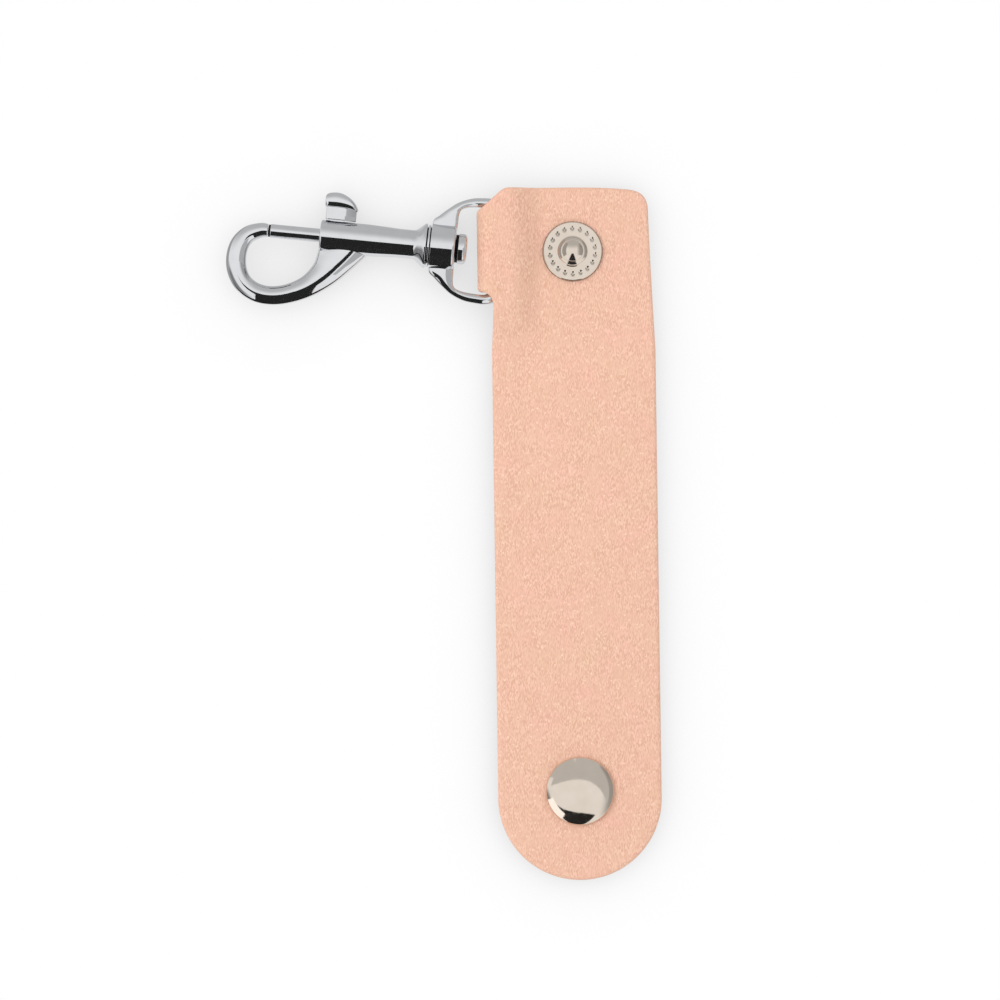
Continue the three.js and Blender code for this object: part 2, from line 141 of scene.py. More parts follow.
def ranged(tree: Tree, value: Socket, span: Span, result: Span, soft: bool = False) -> Socket:
    """Adds a map from one span to another, straight or as a soft step, that is held at both ends."""
    inputs = dict(zip(("Value", "From Min", "From Max", "To Min", "To Max"), (value, *span, *result)))
    return add_node(tree, "MapRange", inputs, interpolation_type="SMOOTHSTEP" if soft else "LINEAR")[0]


def mixed(tree: Tree, share: Socket, first: Socket | tuple, last: Socket | tuple) -> Socket:
    """Adds a mix of two colours."""
    return add_node(tree, "Mix", {0: share, 6: first, 7: last}, data_type="RGBA")[2]


def worked(tree: Tree, operation: str, *values: Socket) -> Socket:
    """Adds a calculation with plain numbers."""
    return add_node(tree, "Math", dict(enumerate(values)), operation=operation)[0]


def blank_material(name: str) -> bpy.types.Material:
    """Makes an empty node material with that name."""
    material = bpy.data.materials.new(name)
    material.use_nodes = True
    material.node_tree.nodes.clear()
    return material


@dataclass(frozen=True)
class TannedLeather:
    """Vegetable-tanned cowhide: pressed smooth on the grain side, left fibrous on the flesh side.

    The grain side shows fine pale and dark streaks that run down the strap, scattered pale specks and slow clouds
    from straw to rose. The pattern reads the attribute "hide", the place in the flat cut, and follows every bend.
    """

    slot: Slot = Slot.LEATHER
    straw: str = "#f1d1af"
    rose: str = "#ffc2b4"
    deep: str = "#e3af94"
    speck: str = "#ffd9c2"
    edge: str = "#ecb99d"
    flesh_pale: str = "#efcdb4"
    flesh_deep: str = "#d8a888"
    streak_width: float = 0.14  # coarser than real grain, so that it shows
    streak_length: float = 0.6
    patch_size: float = 2.2
    pore_spacing: float = 1.1
    cloud_size: float = 6.0
    cloud_share: float = 0.12
    fibre_size: float = 0.5
    relief: float = 0.05
    contrast: float = 0.58  # of the streaks
    usual: Span = (0.36, 0.64)  # most of a noise lies between these
    faint: float = 0.4  # strength of the streaks where they are weakest
    speck_reach: Span = (0.1, 0.2)  # as shares of the spacing
    speck_share: float = 0.8
    edge_reach: float = 0.55  # how far out of the middle the cut edge's colour goes
    edge_share: float = 0.7
    flesh_reach: Span = (-0.3, -0.6)
    roughness: Span = (0.58, 0.9)  # of grain and flesh

    def material(self) -> bpy.types.Material:
        """Makes the material, with both sides and the cut edge.

        Returns:
            The leather material.
        """
        name = "vegetable_tanned_leather"
        if name in bpy.data.materials:
            return bpy.data.materials[name]
        material = blank_material(name)
        tree = material.node_tree
        hide = add_node(tree, "Attribute", attribute_name="hide")["Vector"]
        depth = add_node(tree, "SeparateXYZ", {0: hide})["Z"]
        lie = (1, self.streak_width / self.streak_length, 1)
        drawn = add_node(tree, "Mapping", {"Vector": hide, "Scale": lie})[0]
        streak = noise(tree, drawn, self.streak_width, Detail=0.0, Distortion=0.2)
        patch = noise(tree, hide, self.patch_size, Detail=2.0)
        cloud = noise(tree, hide, self.cloud_size, Detail=2.0)
        fibre = noise(tree, hide, self.fibre_size, Detail=6.0, Roughness=0.75)
        pore = add_node(tree, "TexVoronoi", {"Vector": hide, "Scale": 1 / (self.pore_spacing * MM)})["Distance"]
        crisp = ranged(tree, streak, self.usual, (-self.contrast, self.contrast))
        strength = ranged(tree, patch, self.usual, (self.faint, 1.0))
        slow = ranged(tree, cloud, (0.0, 1.0), (0.5 - self.cloud_share / 2, 0.5 + self.cloud_share / 2))
        tone = worked(tree, "MULTIPLY_ADD", crisp, strength, slow)
        share = ranged(tree, tone, (0.0, 1.0), (0.0, 1.0))
        pale = mixed(tree, cloud, linear(self.straw), linear(self.rose))
        grain = mixed(tree, share, linear(self.deep), pale)
        dot = ranged(tree, pore, self.speck_reach, (self.speck_share, 0.0))
        specked = mixed(tree, dot, grain, linear(self.speck))
        at_edge = ranged(tree, depth, (0.0, self.edge_reach * MM), (self.edge_share, 0.0), soft=True)
        edged = mixed(tree, at_edge, specked, linear(self.edge))
        flesh = mixed(tree, fibre, linear(self.flesh_deep), linear(self.flesh_pale))
        start, end = self.flesh_reach
        at_back = ranged(tree, depth, (start * MM, end * MM), (0.0, 1.0), soft=True)
        colour = mixed(tree, at_back, edged, flesh)
        roughness = ranged(tree, at_back, (0.0, 1.0), self.roughness)
        height = add_node(tree, "Mix", {0: at_back, 2: tone, 3: fibre})[0]
        normal = add_node(tree, "Bump", {"Height": height, "Strength": 0.5, "Distance": self.relief * MM})[0]
        shader = add_node(
            tree, "BsdfPrincipled", {"Base Color": colour, "Roughness": roughness, "Normal": normal, "IOR": 1.5},
        )[0]
        add_node(tree, "OutputMaterial", {"Surface": shader})
        return material


@dataclass(frozen=True)
class PlatedMetal:
    """Polished metal plating: a mirror with the slow ripple of the base under it and light handling marks.

    The attribute that marks painted shade is 1 in grooves, bores and gaps and on the stud's outer wall: there the
    colour is painted dark as the shade that falls there, and the roughness is dull.
    """

    name: str
    slot: Slot
    colour: str
    tarnish: str
    gloss: float  # roughness where the plating is clean
    rubbed: float  # roughness where it is handled
    ripple_size: float
    ripple_depth: float
    mark_size: float
    # painted shade: the dark colour painted into grooves, bores and gaps
    shade_colour: str = "#1c1d1f"
    dull: float = 0.6
    handled: Span = (0.4, 0.7)  # values of the marks between clean and handled

    def material(self) -> bpy.types.Material:
        """Makes the material.

        Returns:
            A metal with rippled normals, and roughness and tint that vary a little.
        """
        if self.name in bpy.data.materials:
            return bpy.data.materials[self.name]
        material = blank_material(self.name)
        tree = material.node_tree
        place = add_node(tree, "TexCoord")["Object"]
        ripple = noise(tree, place, self.ripple_size, Detail=1.0)
        marks = noise(tree, place, self.mark_size, Detail=5.0, Roughness=0.65)
        wear = ranged(tree, marks, self.handled, (self.gloss, self.rubbed))
        tint = mixed(tree, ripple, linear(self.colour), linear(self.tarnish))
        # painted shade: where this mark is 1, the colour is painted dark and dull as shade
        bare = add_node(tree, "Attribute", attribute_name="bare")["Fac"]
        colour = mixed(tree, bare, tint, linear(self.shade_colour))
        roughness = add_node(tree, "Mix", {0: bare, 2: wear, 3: self.dull})[0]
        normal = add_node(tree, "Bump", {"Height": ripple, "Strength": 1.0, "Distance": self.ripple_depth * MM})[0]
        shader = add_node(
            tree, "BsdfPrincipled", {"Base Color": colour, "Metallic": 1.0, "Roughness": roughness, "Normal": normal},
        )[0]
        add_node(tree, "OutputMaterial", {"Surface": shader})
        return material


# Bright nickel on stamped brass: warm, a little soft
NICKEL_PLATE = PlatedMetal(
    "bright_nickel_plate", Slot.NICKEL, "#e7dcd0", "#ddd0c1",
    gloss=0.07, rubbed=0.15, ripple_size=2.5, ripple_depth=0.004, mark_size=0.8,
)
# Chrome on zinc casting: cold, close to a mirror, with the ripple of the casting under it
CHROME_PLATE = PlatedMetal(
    "chrome_plated_zinc", Slot.CHROME, "#e6e7e9", "#dcdde0",
    gloss=0.03, rubbed=0.09, ripple_size=1.8, ripple_depth=0.008, mark_size=0.6,
)
# Drawn spring wire: grey and half bright
SPRING_WIRE = PlatedMetal(
    "drawn_spring_wire", Slot.SPRING, "#b9bbbd", "#a4a6a8",
    gloss=0.22, rubbed=0.38, ripple_size=0.8, ripple_depth=0.004, mark_size=0.15,
)


Finish = TannedLeather | PlatedMetal


def smooth(value: Array | float, span: Span = (0.0, 1.0)) -> Array:
    """Cubic step from 0 to 1 over a span that is level at both ends."""
    t = np.clip((value - span[0]) / (span[1] - span[0]), 0, 1)
    return t * t * (3 - 2 * t)


def crowded(count: int, crowd: Crowd, pull: float = 0.95) -> Array:
    """Numbers from 0 to 1 that crowd towards the ends: an even run less a share of one sine wave.

    Args:
        count: How many numbers.
        crowd: Which ends they crowd to.
        pull: Share of the even step that is lost at a crowded end.

    Returns:
        Rising numbers, both ends among them.
    """
    first = crowd.value
    even = np.linspace(first, 1, count)
    waved = even - pull * np.sin(2 * np.pi * even) / (2 * np.pi)
    return (waved - first) / (1 - first)


def parabola(start: Sequence[float], control: Sequence[float], end: Sequence[float], count: int) -> Array:
    """Curve of count points from start to end: a parabola whose end tangents meet in the control point."""
    t = np.linspace(0, 1, count)[:, None]
    return np.multiply(start, (1 - t) ** 2) + np.multiply(control, 2 * t * (1 - t)) + np.multiply(end, t**2)


def through(points: Points | Array, count: int) -> Array:
    """Smooth curve through points: each stretch is a cubic whose end slopes are half the chord across each point.

    Args:
        points: Points of any dimension, in order.
        count: Points wanted on the curve.

    Returns:
        Array of count points, with even steps of the parameter.
    """
    knots = np.asarray(points, float)
    slopes = np.gradient(knots, axis=0)
    place = np.linspace(0, len(knots) - 1, count)
    start = np.minimum(place.astype(int), len(knots) - 2)
    t = (place - start)[:, None]
    a, b, da, db = knots[start], knots[start + 1], slopes[start], slopes[start + 1]
    return (
        a * (1 + 2 * t) * (1 - t) ** 2 + b * t**2 * (3 - 2 * t) + da * t * (1 - t) ** 2 + db * t**2 * (t - 1)
    )


def rounded(corners: Points, steps: int = 7, closed: bool = False) -> Array:
    """Polyline with its corners rounded: each corner becomes a parabola between two points on its sides.

    Args:
        corners: Points with a third number, how far the rounding reaches along the sides.
        steps: Points on each rounding.
        closed: Whether the last corner joins the first.

    Returns:
        Points of the rounded line.
    """
    table = np.asarray(corners, float)
    middle = table[:, :2]
    before, after = np.roll(middle, 1, 0), np.roll(middle, -1, 0)
    if not closed:
        before[0], after[-1] = middle[0], middle[-1]

    def towards(other: Array) -> Array:
        """Point on the side to another corner, as far out as the rounding reaches."""
        side = other - middle
        length = np.maximum(np.linalg.norm(side, axis=1), 1e-9)
        return middle + side * np.minimum(table[:, 2] / length, 0.49)[:, None]

    t = np.linspace(0, 1, steps)[None, :, None]
    a, b, c = towards(before)[:, None], towards(after)[:, None], middle[:, None]
    return (a * (1 - t) ** 2 + 2 * c * t * (1 - t) + b * t**2).reshape(-1, 2)


def turned(profile: Array, sides: int = 96) -> Array:
    """Surface of revolution: every profile point, a radius and a height, goes round Z in equal steps."""
    turn, radius = np.linspace(0, 2 * np.pi, sides, endpoint=False), profile[:, :1]
    return np.stack([radius * np.cos(turn), radius * np.sin(turn), profile[:, 1:] + 0 * turn], -1)


def swept(centre: Array, side: Array, up: Array, sides: int = 24, power: Array | float = 1.0) -> Array:
    """Rod along a path: at each point a ring, side times a cosine plus up times a sine, closed to a point at each end.

    Args:
        centre: Points of the path.
        side: Half width of each ring, as a vector.
        up: Half height of each ring, as a vector.
        sides: Points on a ring.
        power: Exponent on the sine, one or one for each ring: 1 for an ellipse, less for a flatter top.

    Returns:
        Grid of points, one row for each ring, with a row of equal points at each end.
    """
    turn = np.linspace(0, 2 * np.pi, sides, endpoint=False)
    exponent = np.broadcast_to(np.asarray(power, float), len(centre))[:, None]
    height = np.sign(np.sin(turn)) * np.abs(np.sin(turn)) ** exponent
    rings = centre[:, None] + side[:, None] * np.cos(turn)[:, None] + up[:, None] * height[..., None]
    first, last = np.repeat(centre[:1, None], sides, 1), np.repeat(centre[-1:, None], sides, 1)
    return np.concatenate([first, rings, last])


def ribbon(lines: Array, thick: Array, sides: int = 28, ends: Array | float = 1.0, power: Array | float = 1.0) -> Array:
    """Rod between two outlines: rings from inner to outer edge, whose height is given, drawn in at the ends.

    Args:
        lines: Pairs of a point on the inner and one on the outer outline, as four columns.
        thick: Half height at each pair.
        sides: Points on a ring.
        ends: Share of its full size that each ring has.
        power: Exponent of the rings' shape.

    Returns:
        Grid of points for a rod.
    """
    inner, outer = lines[:, :2], lines[:, 2:]
    flat = np.zeros((len(lines), 1))
    size = np.broadcast_to(ends, len(lines))
    centre = np.hstack([(inner + outer) / 2, flat])
    side = np.hstack([(outer - inner) / 2, flat]) * size[:, None]
    up = np.stack([flat[:, 0], flat[:, 0], thick * size], 1)
    return swept(centre, side, up, sides, power)


def pillow(outline: Array, low: float, high: float, edge: float) -> Array:
    """Block with a flat outline and rounded edges: the outline moves inwards by a quarter circle at both faces.

    Args:
        outline: Closed outline in the plane, anticlockwise.
        low: Lower face.
        high: Upper face.
        edge: Radius of the edges.

    Returns:
        Grid of points, one row for each level, with a row of equal points on each face.
    """
    along = np.roll(outline, -1, 0) - np.roll(outline, 1, 0)
    along = along / np.linalg.norm(along, axis=1)[:, None]
    outward = np.stack([along[:, 1], -along[:, 0]], 1)
    turn = np.linspace(0, np.pi / 2, 7)
    inset = edge * (1 - np.sin(turn))
    rise = edge * (1 - np.cos(turn))
    inset = np.concatenate([[edge + 0.05], inset, inset[::-1], [edge + 0.05]])
    level = np.concatenate([[low], low + rise, (high - rise)[::-1], [high]])
    flat = outline[None] - outward[None] * inset[:, None, None]
    rows = np.concatenate([flat, np.broadcast_to(level[:, None, None], (*flat.shape[:2], 1))], -1)
    return np.concatenate([
        np.broadcast_to(rows[0].mean(0), rows[:1].shape), rows, np.broadcast_to(rows[-1].mean(0), rows[:1].shape),
    ])


def numbered(shape: Sequence[int]) -> Array:
    """Vertex numbers of a grid, row by row."""
    return np.arange(np.prod(shape)).reshape(shape)


def grid_quads(index: Array, ring: bool = False, loop: bool = False) -> Array:
    """Faces of a grid of vertex numbers.

    Args:
        index: Vertex numbers, in rows.
        ring: Whether each row's last point joins its first.
        loop: Whether the last row joins the first.

    Returns:
        Four vertex numbers for each face.
    """
    if ring:
        index = np.concatenate([index, index[:, :1]], 1)
    if loop:
        index = np.concatenate([index, index[:1]], 0)
    corners = [index[:-1, :-1], index[:-1, 1:], index[1:, 1:], index[1:, :-1]]
    return np.stack([corner.ravel() for corner in corners], 1)


def tube(grid: Array, loop: bool = False) -> Skin:
    """Skin over a grid whose rows are closed rings. In a loop, the last ring joins the first."""
    return grid.reshape(-1, 3), grid_quads(numbered(grid.shape[:2]), ring=True, loop=loop)


def stitched(outer: Array, inner: Array, quads: Array) -> Skin:
    """Closed skin between two like surfaces, with a wall along every edge that belongs to one face alone.

    Args:
        outer: Points of the outer surface.
        inner: Points of the inner surface, paired with the outer ones.
        quads: Faces of the outer surface.

    Returns:
        Points and faces of the skin.
    """
    edges = quads[:, [0, 1, 1, 2, 2, 3, 3, 0]].reshape(-1, 2)
    _, first, uses = np.unique(np.sort(edges, 1), axis=0, return_index=True, return_counts=True)
    rim = edges[first[uses == 1]]
    count = len(outer)
    walls = np.stack([rim[:, 1], rim[:, 0], rim[:, 0] + count, rim[:, 1] + count], 1)
    return np.concatenate([outer, inner]), np.concatenate([quads, quads[:, ::-1] + count, walls])


def joined(*parts: Skin) -> Skin:
    """Several skins as one: points in a row, with each skin's face numbers moved along."""
    starts = np.cumsum([0] + [len(points) for points, _ in parts])
    faces = [faces + start for (_, faces), start in zip(parts, starts)]
    return np.concatenate([points for points, _ in parts]), np.concatenate(faces)


def box(node: str) -> Array:
    """Lowest and highest corner of a CAD node, in millimetres."""
    return np.array([list(corner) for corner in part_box(node)]) / MM


def put(name: str, data: bpy.types.ID) -> Thing:
    """Adds an object to the scene, at the origin."""
    thing = bpy.data.objects.new(name, data)
    bpy.context.scene.collection.objects.link(thing)
    return thing


def piece(name: str, skin: Skin, finish: Finish, nodes: Sequence[str], **notes: Array) -> Thing:
    """Makes a finished piece: doubles merged, faces outward and smooth, dressed, in place of its CAD nodes.

    Args:
        name: Name of the piece.
        skin: Points in millimetres, in the row frame, and faces.
        finish: What it is made of.
        nodes: CAD nodes that it stands for.
        notes: Values for each point that the finish reads, a vector in millimetres or a plain number.

    Returns:
        The object, with its place in its mesh.
    """
    mesh = bpy.data.meshes.new(name)
    mesh.from_pydata((skin[0] * MM).tolist(), [], skin[1].tolist())
    for note, values in notes.items():
        if values.ndim == 2:
            data = mesh.attributes.new(note, "FLOAT_VECTOR", "POINT").data
            data.foreach_set("vector", (values * MM).astype(np.float32).ravel())
        else:
            mesh.attributes.new(note, "FLOAT", "POINT").data.foreach_set("value", values.astype(np.float32))
    same = 0.002 * MM
    work = bmesh.new()
    work.from_mesh(mesh)
    bmesh.ops.remove_doubles(work, verts=work.verts, dist=same)
    bmesh.ops.dissolve_degenerate(work, edges=work.edges, dist=same)
    bmesh.ops.recalc_face_normals(work, faces=work.faces)
    work.to_mesh(mesh)
    work.free()
    mesh.polygons.foreach_set("use_smooth", np.ones(len(mesh.polygons), bool))
    mesh.materials.append(finish.material())
    thing = put(name, mesh)
    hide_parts(*nodes)
    log.info("%s: %d faces for %s", name, len(mesh.polygons), ", ".join(nodes))
    return thing


def crease(thing: Thing, levels: Sequence[float]) -> None:
    """Keeps the edges that lie across the strap at given levels sharp, so that neighbours shade as one sheet.

    Args:
        thing: A length of strap, whose hide attribute holds its flat places.
        levels: Flat places of the edges along the strap, in millimetres.
    """
    mesh = thing.data
    flat = np.empty(len(mesh.vertices) * 3, np.float32)
    mesh.attributes["hide"].data.foreach_get("vector", flat)
    ends = np.empty(len(mesh.edges) * 2, np.int32)
    mesh.edges.foreach_get("vertices", ends)
    along = flat.reshape(-1, 3)[:, 1][ends.reshape(-1, 2)] / MM
    sharp = np.any([np.all(np.isclose(along, level, atol=0.001), axis=1) for level in levels], axis=0)
    mesh.attributes.new("sharp_edge", "BOOLEAN", "EDGE").data.foreach_set("value", sharp)


@dataclass(frozen=True)
class Seat:
    """Where local points go: an origin in millimetres and three axes, the columns of a matrix."""

    origin: Array
    axes: Array

    def place(self, grid: Array) -> Array:
        """Local points as points of the row frame."""
        return grid @ self.axes.T + self.origin

    def swung(self, degrees: float) -> "Seat":
        """The same seat turned about its own Z."""
        turn = np.radians(degrees)
        spin = np.array([(np.cos(turn), -np.sin(turn), 0), (np.sin(turn), np.cos(turn), 0), (0, 0, 1)])
        return Seat(self.origin, self.axes @ spin)

    def on_side(self) -> "Seat":
        """The same seat for turned pieces: their axis lies along this seat's X."""
        return Seat(self.origin, self.axes[:, [1, 2, 0]])


@dataclass
class Strap:
    """One cut of leather: a straight strap, a stiff head with a side tab that folds back, and a round tip.

    Flat places are pairs u and y. On the strap u is x. Past the fold's axis, u goes on round the fold and along
    the tongue, so that the whole outline lies in one plane.
    """

    finish: TannedLeather
    width: float = 30.0
    thickness: float = 1.6
    top: float = 11.8
    head_length: float = 18.0
    right_bow: Span = (14.2, -2.0)
    right_end: Span = (13.95, 7.8)
    corner_bow: Span = (13.75, 10.85)
    corner_end: Span = (10.6, 11.25)
    top_bow: Span = (6.3, 11.8)
    top_end: Span = (-2.0, 11.8)
    overhang: float = 1.4
    fold_inner: float = 1.25
    fold_top: float = 7.85
    fold_bottom: float = -7.25
    slant_start: float = -12.4
    shoulder_round: float = 0.9
    knee: Span = (-15.1, 9.45)
    notch: Span = (-14.6, -9.7)
    notch_bow: Span = (-14.9, -7.5)
    tongue_half: float = 7.2
    tongue_drop: float = 0.27
    tongue_run: float = 6.6
    lift: Span = (-11.7, -5.6)  # where the strap comes down from the bar
    fade: Span = (-18.0, -9.0)  # where the lift dies out
    edge_round: float = 0.75
    edge_wall: float = 0.12
    lap: float = 1.4
    lap_step: float = 0.02
    lap_sink: float = 0.05
    turns: tuple[Span, ...] = (  # how far each turn reaches above and below its bend line
        (3.35, 7.7), (12.3, 9.6), (9.6, 8.7), (11.6, 8.6), (12.3, 9.4), (10.8, 12.1),
        (8.7, 12.1), (8.7, 9.5), (9.5, 12.8), (8.0, 3.35), (3.35, 7.0),
    )

    def __post_init__(self) -> None:
        """Takes levels and bend lines from the frame."""
        low, high = box("strap_head")
        self.level = box("strap_link_01")[1, 2] - self.thickness / 2
        self.crest = high[2] - self.thickness / 2
        self.fold_left = low[0]
        self.fold_mid = self.fold_inner + self.thickness / 2
        self.fold_axis = low[0] + self.fold_inner + self.thickness
        names = [*(f"strap_curl_{number:02d}" for number in range(1, 11)), "snap_press"]
        self.bends = [JOINTS[name]["pos_m"][1] / MM for name in names]
        half_pitch = (self.bends[0] - self.bends[1]) / 2
        self.cuts = [bend + half_pitch for bend in self.bends]
        self.cap_place = box("snap_cap")[:, 1].mean()
        self.tongue_start = self.fold_axis - np.pi * self.fold_mid
        self.tongue_centre = self.tongue_start + self.fold_axis
        self.columns = (crowded(73, Crowd.BOTH_ENDS) - 0.5) * self.width

    def right_edge(self, y: Array) -> Array:
        """Right edge at y: a parabola from the full width at the first bend to the narrower top."""
        line = parabola((self.width / 2, -self.head_length), self.right_bow, self.right_end, 40)
        return np.interp(y, line[:, 1], line[:, 0])

    def left_edge(self, y: Array) -> Array:
        """Left edge below the tab: a line from the full width at the first bend to the notch."""
        rise = np.clip((y + self.head_length) / (self.notch[1] + self.head_length), 0, 1)
        return -self.width / 2 - (-self.width / 2 - self.notch[0]) * rise

    def fold_line(self, side: Array, back: float) -> Array:
        """Edge of the fold by rising u, from the tongue to the fold's axis.

        On the front half, the edge follows a line drawn in x and y over the fold's outer face.

        Args:
            side: Points x and y of that line, by rising x.
            back: Level of the edge on the tongue.

        Returns:
            Flat places u and y.
        """
        turn = np.linspace(np.pi / 2, 0, 40)
        x = self.fold_axis - (self.fold_axis - self.fold_left) * np.sin(turn)
        level = np.interp(x, side[:, 0], side[:, 1])
        front = np.stack([self.fold_axis - self.fold_mid * turn, level], 1)
        return np.concatenate([[[self.tongue_start, back]], front])

    def tongue_end(self, side: int) -> Array:
        """Quarter of the tongue's round end by rising u, on the upper (1) or lower (-1) side."""
        turn, half = np.linspace(0, np.pi / 2, 40), self.tongue_half
        return np.stack([self.tongue_centre - half * np.cos(turn), side * half * np.sin(turn)], 1)

    def upper_line(self) -> Array:
        """Upper outline of head and tongue by rising u: round tongue end, fold, slanted shoulder, top and corner.

        Returns:
            Flat places u and y.
        """
        slant = rounded([
            (self.fold_left, self.fold_top, 0), (*self.knee, self.shoulder_round),
            (self.slant_start, self.top, self.shoulder_round), (*self.top_end, 0),
        ])
        corner = np.concatenate([
            parabola(self.top_end, self.top_bow, self.corner_end, 24),
            parabola(self.corner_end, self.corner_bow, self.right_end, 48)[1:],
        ])
        return np.concatenate([
            self.tongue_end(1),
            self.fold_line(slant, self.tongue_half),
            slant[slant[:, 0] > self.fold_axis],
            corner[1:],
        ])

    def lower_line(self) -> Array:
        """Lower outline of tongue and tab by rising u, as far as the notch."""
        hollow = parabola((self.fold_left, self.fold_bottom), self.notch_bow, self.notch, 40)
        return np.concatenate([self.tongue_end(-1), self.fold_line(hollow, -self.tongue_half), [self.notch]])

    def outline(self) -> Array:
        """The whole flat outline: upper line, right edge, round tip, left edge, and the lower line back.

        Returns:
            Closed line of flat places.
        """
        half = self.width / 2
        sides = np.linspace(self.right_end[1], -self.head_length, 30)
        turn = np.linspace(0, np.pi, 120)
        end = self.cap_place - self.overhang
        return np.concatenate([
            self.upper_line(),
            np.stack([self.right_edge(sides), sides], 1),
            np.stack([half * np.cos(turn), end - half * np.sin(turn)], 1),
            [[-half, -self.head_length]],
            self.lower_line()[::-1],
        ])

    def half_thickness(self, u: Array, y: Array) -> Array:
        """Half thickness at flat places: full inside, and a quarter ellipse down to a thin wall near the outline.

        Args:
            u: Flat places across.
            y: Flat places along.

        Returns:
            Half thickness at each place.
        """
        line = self.outline()
        a, b = line, np.roll(line, -1, 0)
        side = b - a
        spot = np.stack([u, y], -1)[..., None, :] - a
        share = np.clip((spot * side).sum(-1) / np.maximum((side**2).sum(-1), 1e-12), 0, 1)
        distance = np.linalg.norm(spot - share[..., None] * side, axis=-1).min(-1)
        dip = 1 - np.clip(distance / self.edge_round, 0, 1)
        return self.edge_wall + (self.thickness / 2 - self.edge_wall) * np.sqrt(1 - dip**2)

    def middle(self, x: Array, y: Array) -> Array:
        """Height of the middle surface on the strap: raised over the bar by a smooth step that dies out downwards."""
        share = (1 - smooth(x, self.lift)) * smooth(y, self.fade)
        return self.level + (self.crest - self.level) * share

    def bent(self, u: Array, y: Array) -> tuple[Array, Array]:
        """Carries flat places to the middle surface: lifted strap, half circle of the fold, then level tongue.

        Args:
            u: Flat places across.
            y: Flat places along.

        Returns:
            Points, and unit normals on the grain side.
        """
        step = 0.01
        x = np.maximum(u, self.fold_axis)
        slope_x = (self.middle(x + step, y) - self.middle(x - step, y)) / (2 * step)
        slope_y = (self.middle(x, y + step) - self.middle(x, y - step)) / (2 * step)
        turn = np.clip((self.fold_axis - u) / self.fold_mid, 0, np.pi)
        past = np.maximum(self.tongue_start - u, 0)
        drop = self.tongue_drop * smooth(past, (0, self.tongue_run))
        height = self.middle(x, y) - self.fold_mid * (1 - np.cos(turn)) - drop
        points = np.stack([x - self.fold_mid * np.sin(turn) + past, y, height], -1)
        on_strap = np.stack([-slope_x, -slope_y, np.ones_like(x)], -1)
        on_fold = np.stack([-np.sin(turn), 0 * turn, np.cos(turn)], -1)
        normals = np.where((u > self.fold_axis)[..., None], on_strap, on_fold)
        return points, normals / np.linalg.norm(normals, axis=-1)[..., None]

    def leather(
        self, name: str, u: Array, y: Array, quads: Array, nodes: Sequence[str], creases: Sequence[float],
        sink: Array | float = 0.0,
    ) -> Thing:
        """Makes a closed piece of leather over flat places, half the thickness to each side of the bent surface.

        Args:
            name: Name of the piece.
            u: Flat places across, one for each point.
            y: Flat places along.
            quads: Faces over the points.
            nodes: CAD nodes that it stands for.
            creases: Cuts where it meets its neighbours.
            sink: How far the faces lie below full thickness, one for each point.

        Returns:
            The finished piece.
        """
        points, normals = self.bent(u, y)
        half = self.half_thickness(u, y) - sink
        skin = stitched(points + normals * half[:, None], points - normals * half[:, None], quads)
        hide = np.concatenate([np.stack([u, y, half], -1), np.stack([u, y, -half], -1)])
        thing = piece(name, skin, self.finish, nodes, hide=hide)
        crease(thing, creases)
        return thing

    def spread(self, y: Array) -> Array:
        """Columns of the strap at each y, scaled to its left and right edges."""
        right = self.right_edge(y) / (self.width / 2)
        left = -self.left_edge(y) / (self.width / 2)
        return self.columns * np.where(self.columns > 0, right, left)

    def head(self) -> None:
        """Builds the head: rows from the lower to the upper line over tongue, fold and strap, and rows below them."""
        turn = np.linspace(0, np.pi / 2, 26)
        tab = np.concatenate([
            self.tongue_centre - self.tongue_half * np.cos(turn),
            np.linspace(self.tongue_centre, self.tongue_start, 18)[1:],
            np.linspace(self.tongue_start, self.fold_axis, 34)[1:],
        ])
        at_top = self.spread(np.full((1, 1), self.top))[0]
        upper, lower = self.upper_line(), self.lower_line()
        high = np.interp(np.concatenate([tab, at_top]), upper[:, 0], upper[:, 1])
        low = np.concatenate([
            np.interp(tab, lower[:, 0], lower[:, 1]), np.full(len(self.columns), self.notch[1]),
        ])
        rows = crowded(45, Crowd.BOTH_ENDS)[:, None]
        y_top = low + rows * (high - low)
        u_top = np.concatenate([np.broadcast_to(tab, (len(rows), len(tab))), self.spread(y_top[:, len(tab) :])], 1)
        y_low = np.linspace(self.cuts[0], self.notch[1], 16)[:-1, None]
        u_low = self.spread(y_low)
        index = numbered(u_top.shape)
        below = np.concatenate([numbered(u_low.shape) + u_top.size, index[:1, len(tab) :]])
        flat_u = np.concatenate([u_top.ravel(), u_low.ravel()])
        flat_y = np.concatenate([y_top.ravel(), np.broadcast_to(y_low, u_low.shape).ravel()])
        quads = np.concatenate([grid_quads(index), grid_quads(below)])
        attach(self.leather("leather_head", flat_u, flat_y, quads, ["strap_head"], self.cuts[:1]), "head")

    def length(self, number: int) -> None:
        """Builds one length, cut midway between bend lines, with a thin lap inside the next one.

        The closed strap's cuts open a little as the leather turns, and the laps keep them filled.

        Args:
            number: Its number down the strap, from 1.
        """
        upper, lower = self.cuts[number - 1 : number + 1]
        step = lower - self.lap_step
        rows = np.concatenate([np.linspace(lower - self.lap, step, 5), np.linspace(lower, upper, 17)])
        sink = np.where(rows < lower, self.lap_sink, 0)[:, None] + 0 * self.columns
        y = rows[:, None] + 0 * self.columns
        u = self.spread(y) * (1 - 2 * sink / self.width)
        thing = self.leather(
            f"leather_length_{number:02d}", u.ravel(), y.ravel(), grid_quads(numbered(u.shape)),
            [f"strap_link_{number:02d}"], [upper, lower, step, lower - self.lap], sink.ravel(),
        )
        self.turn(thing, number, "head" if number == 1 else f"link_{number - 1:02d}", f"link_{number:02d}")

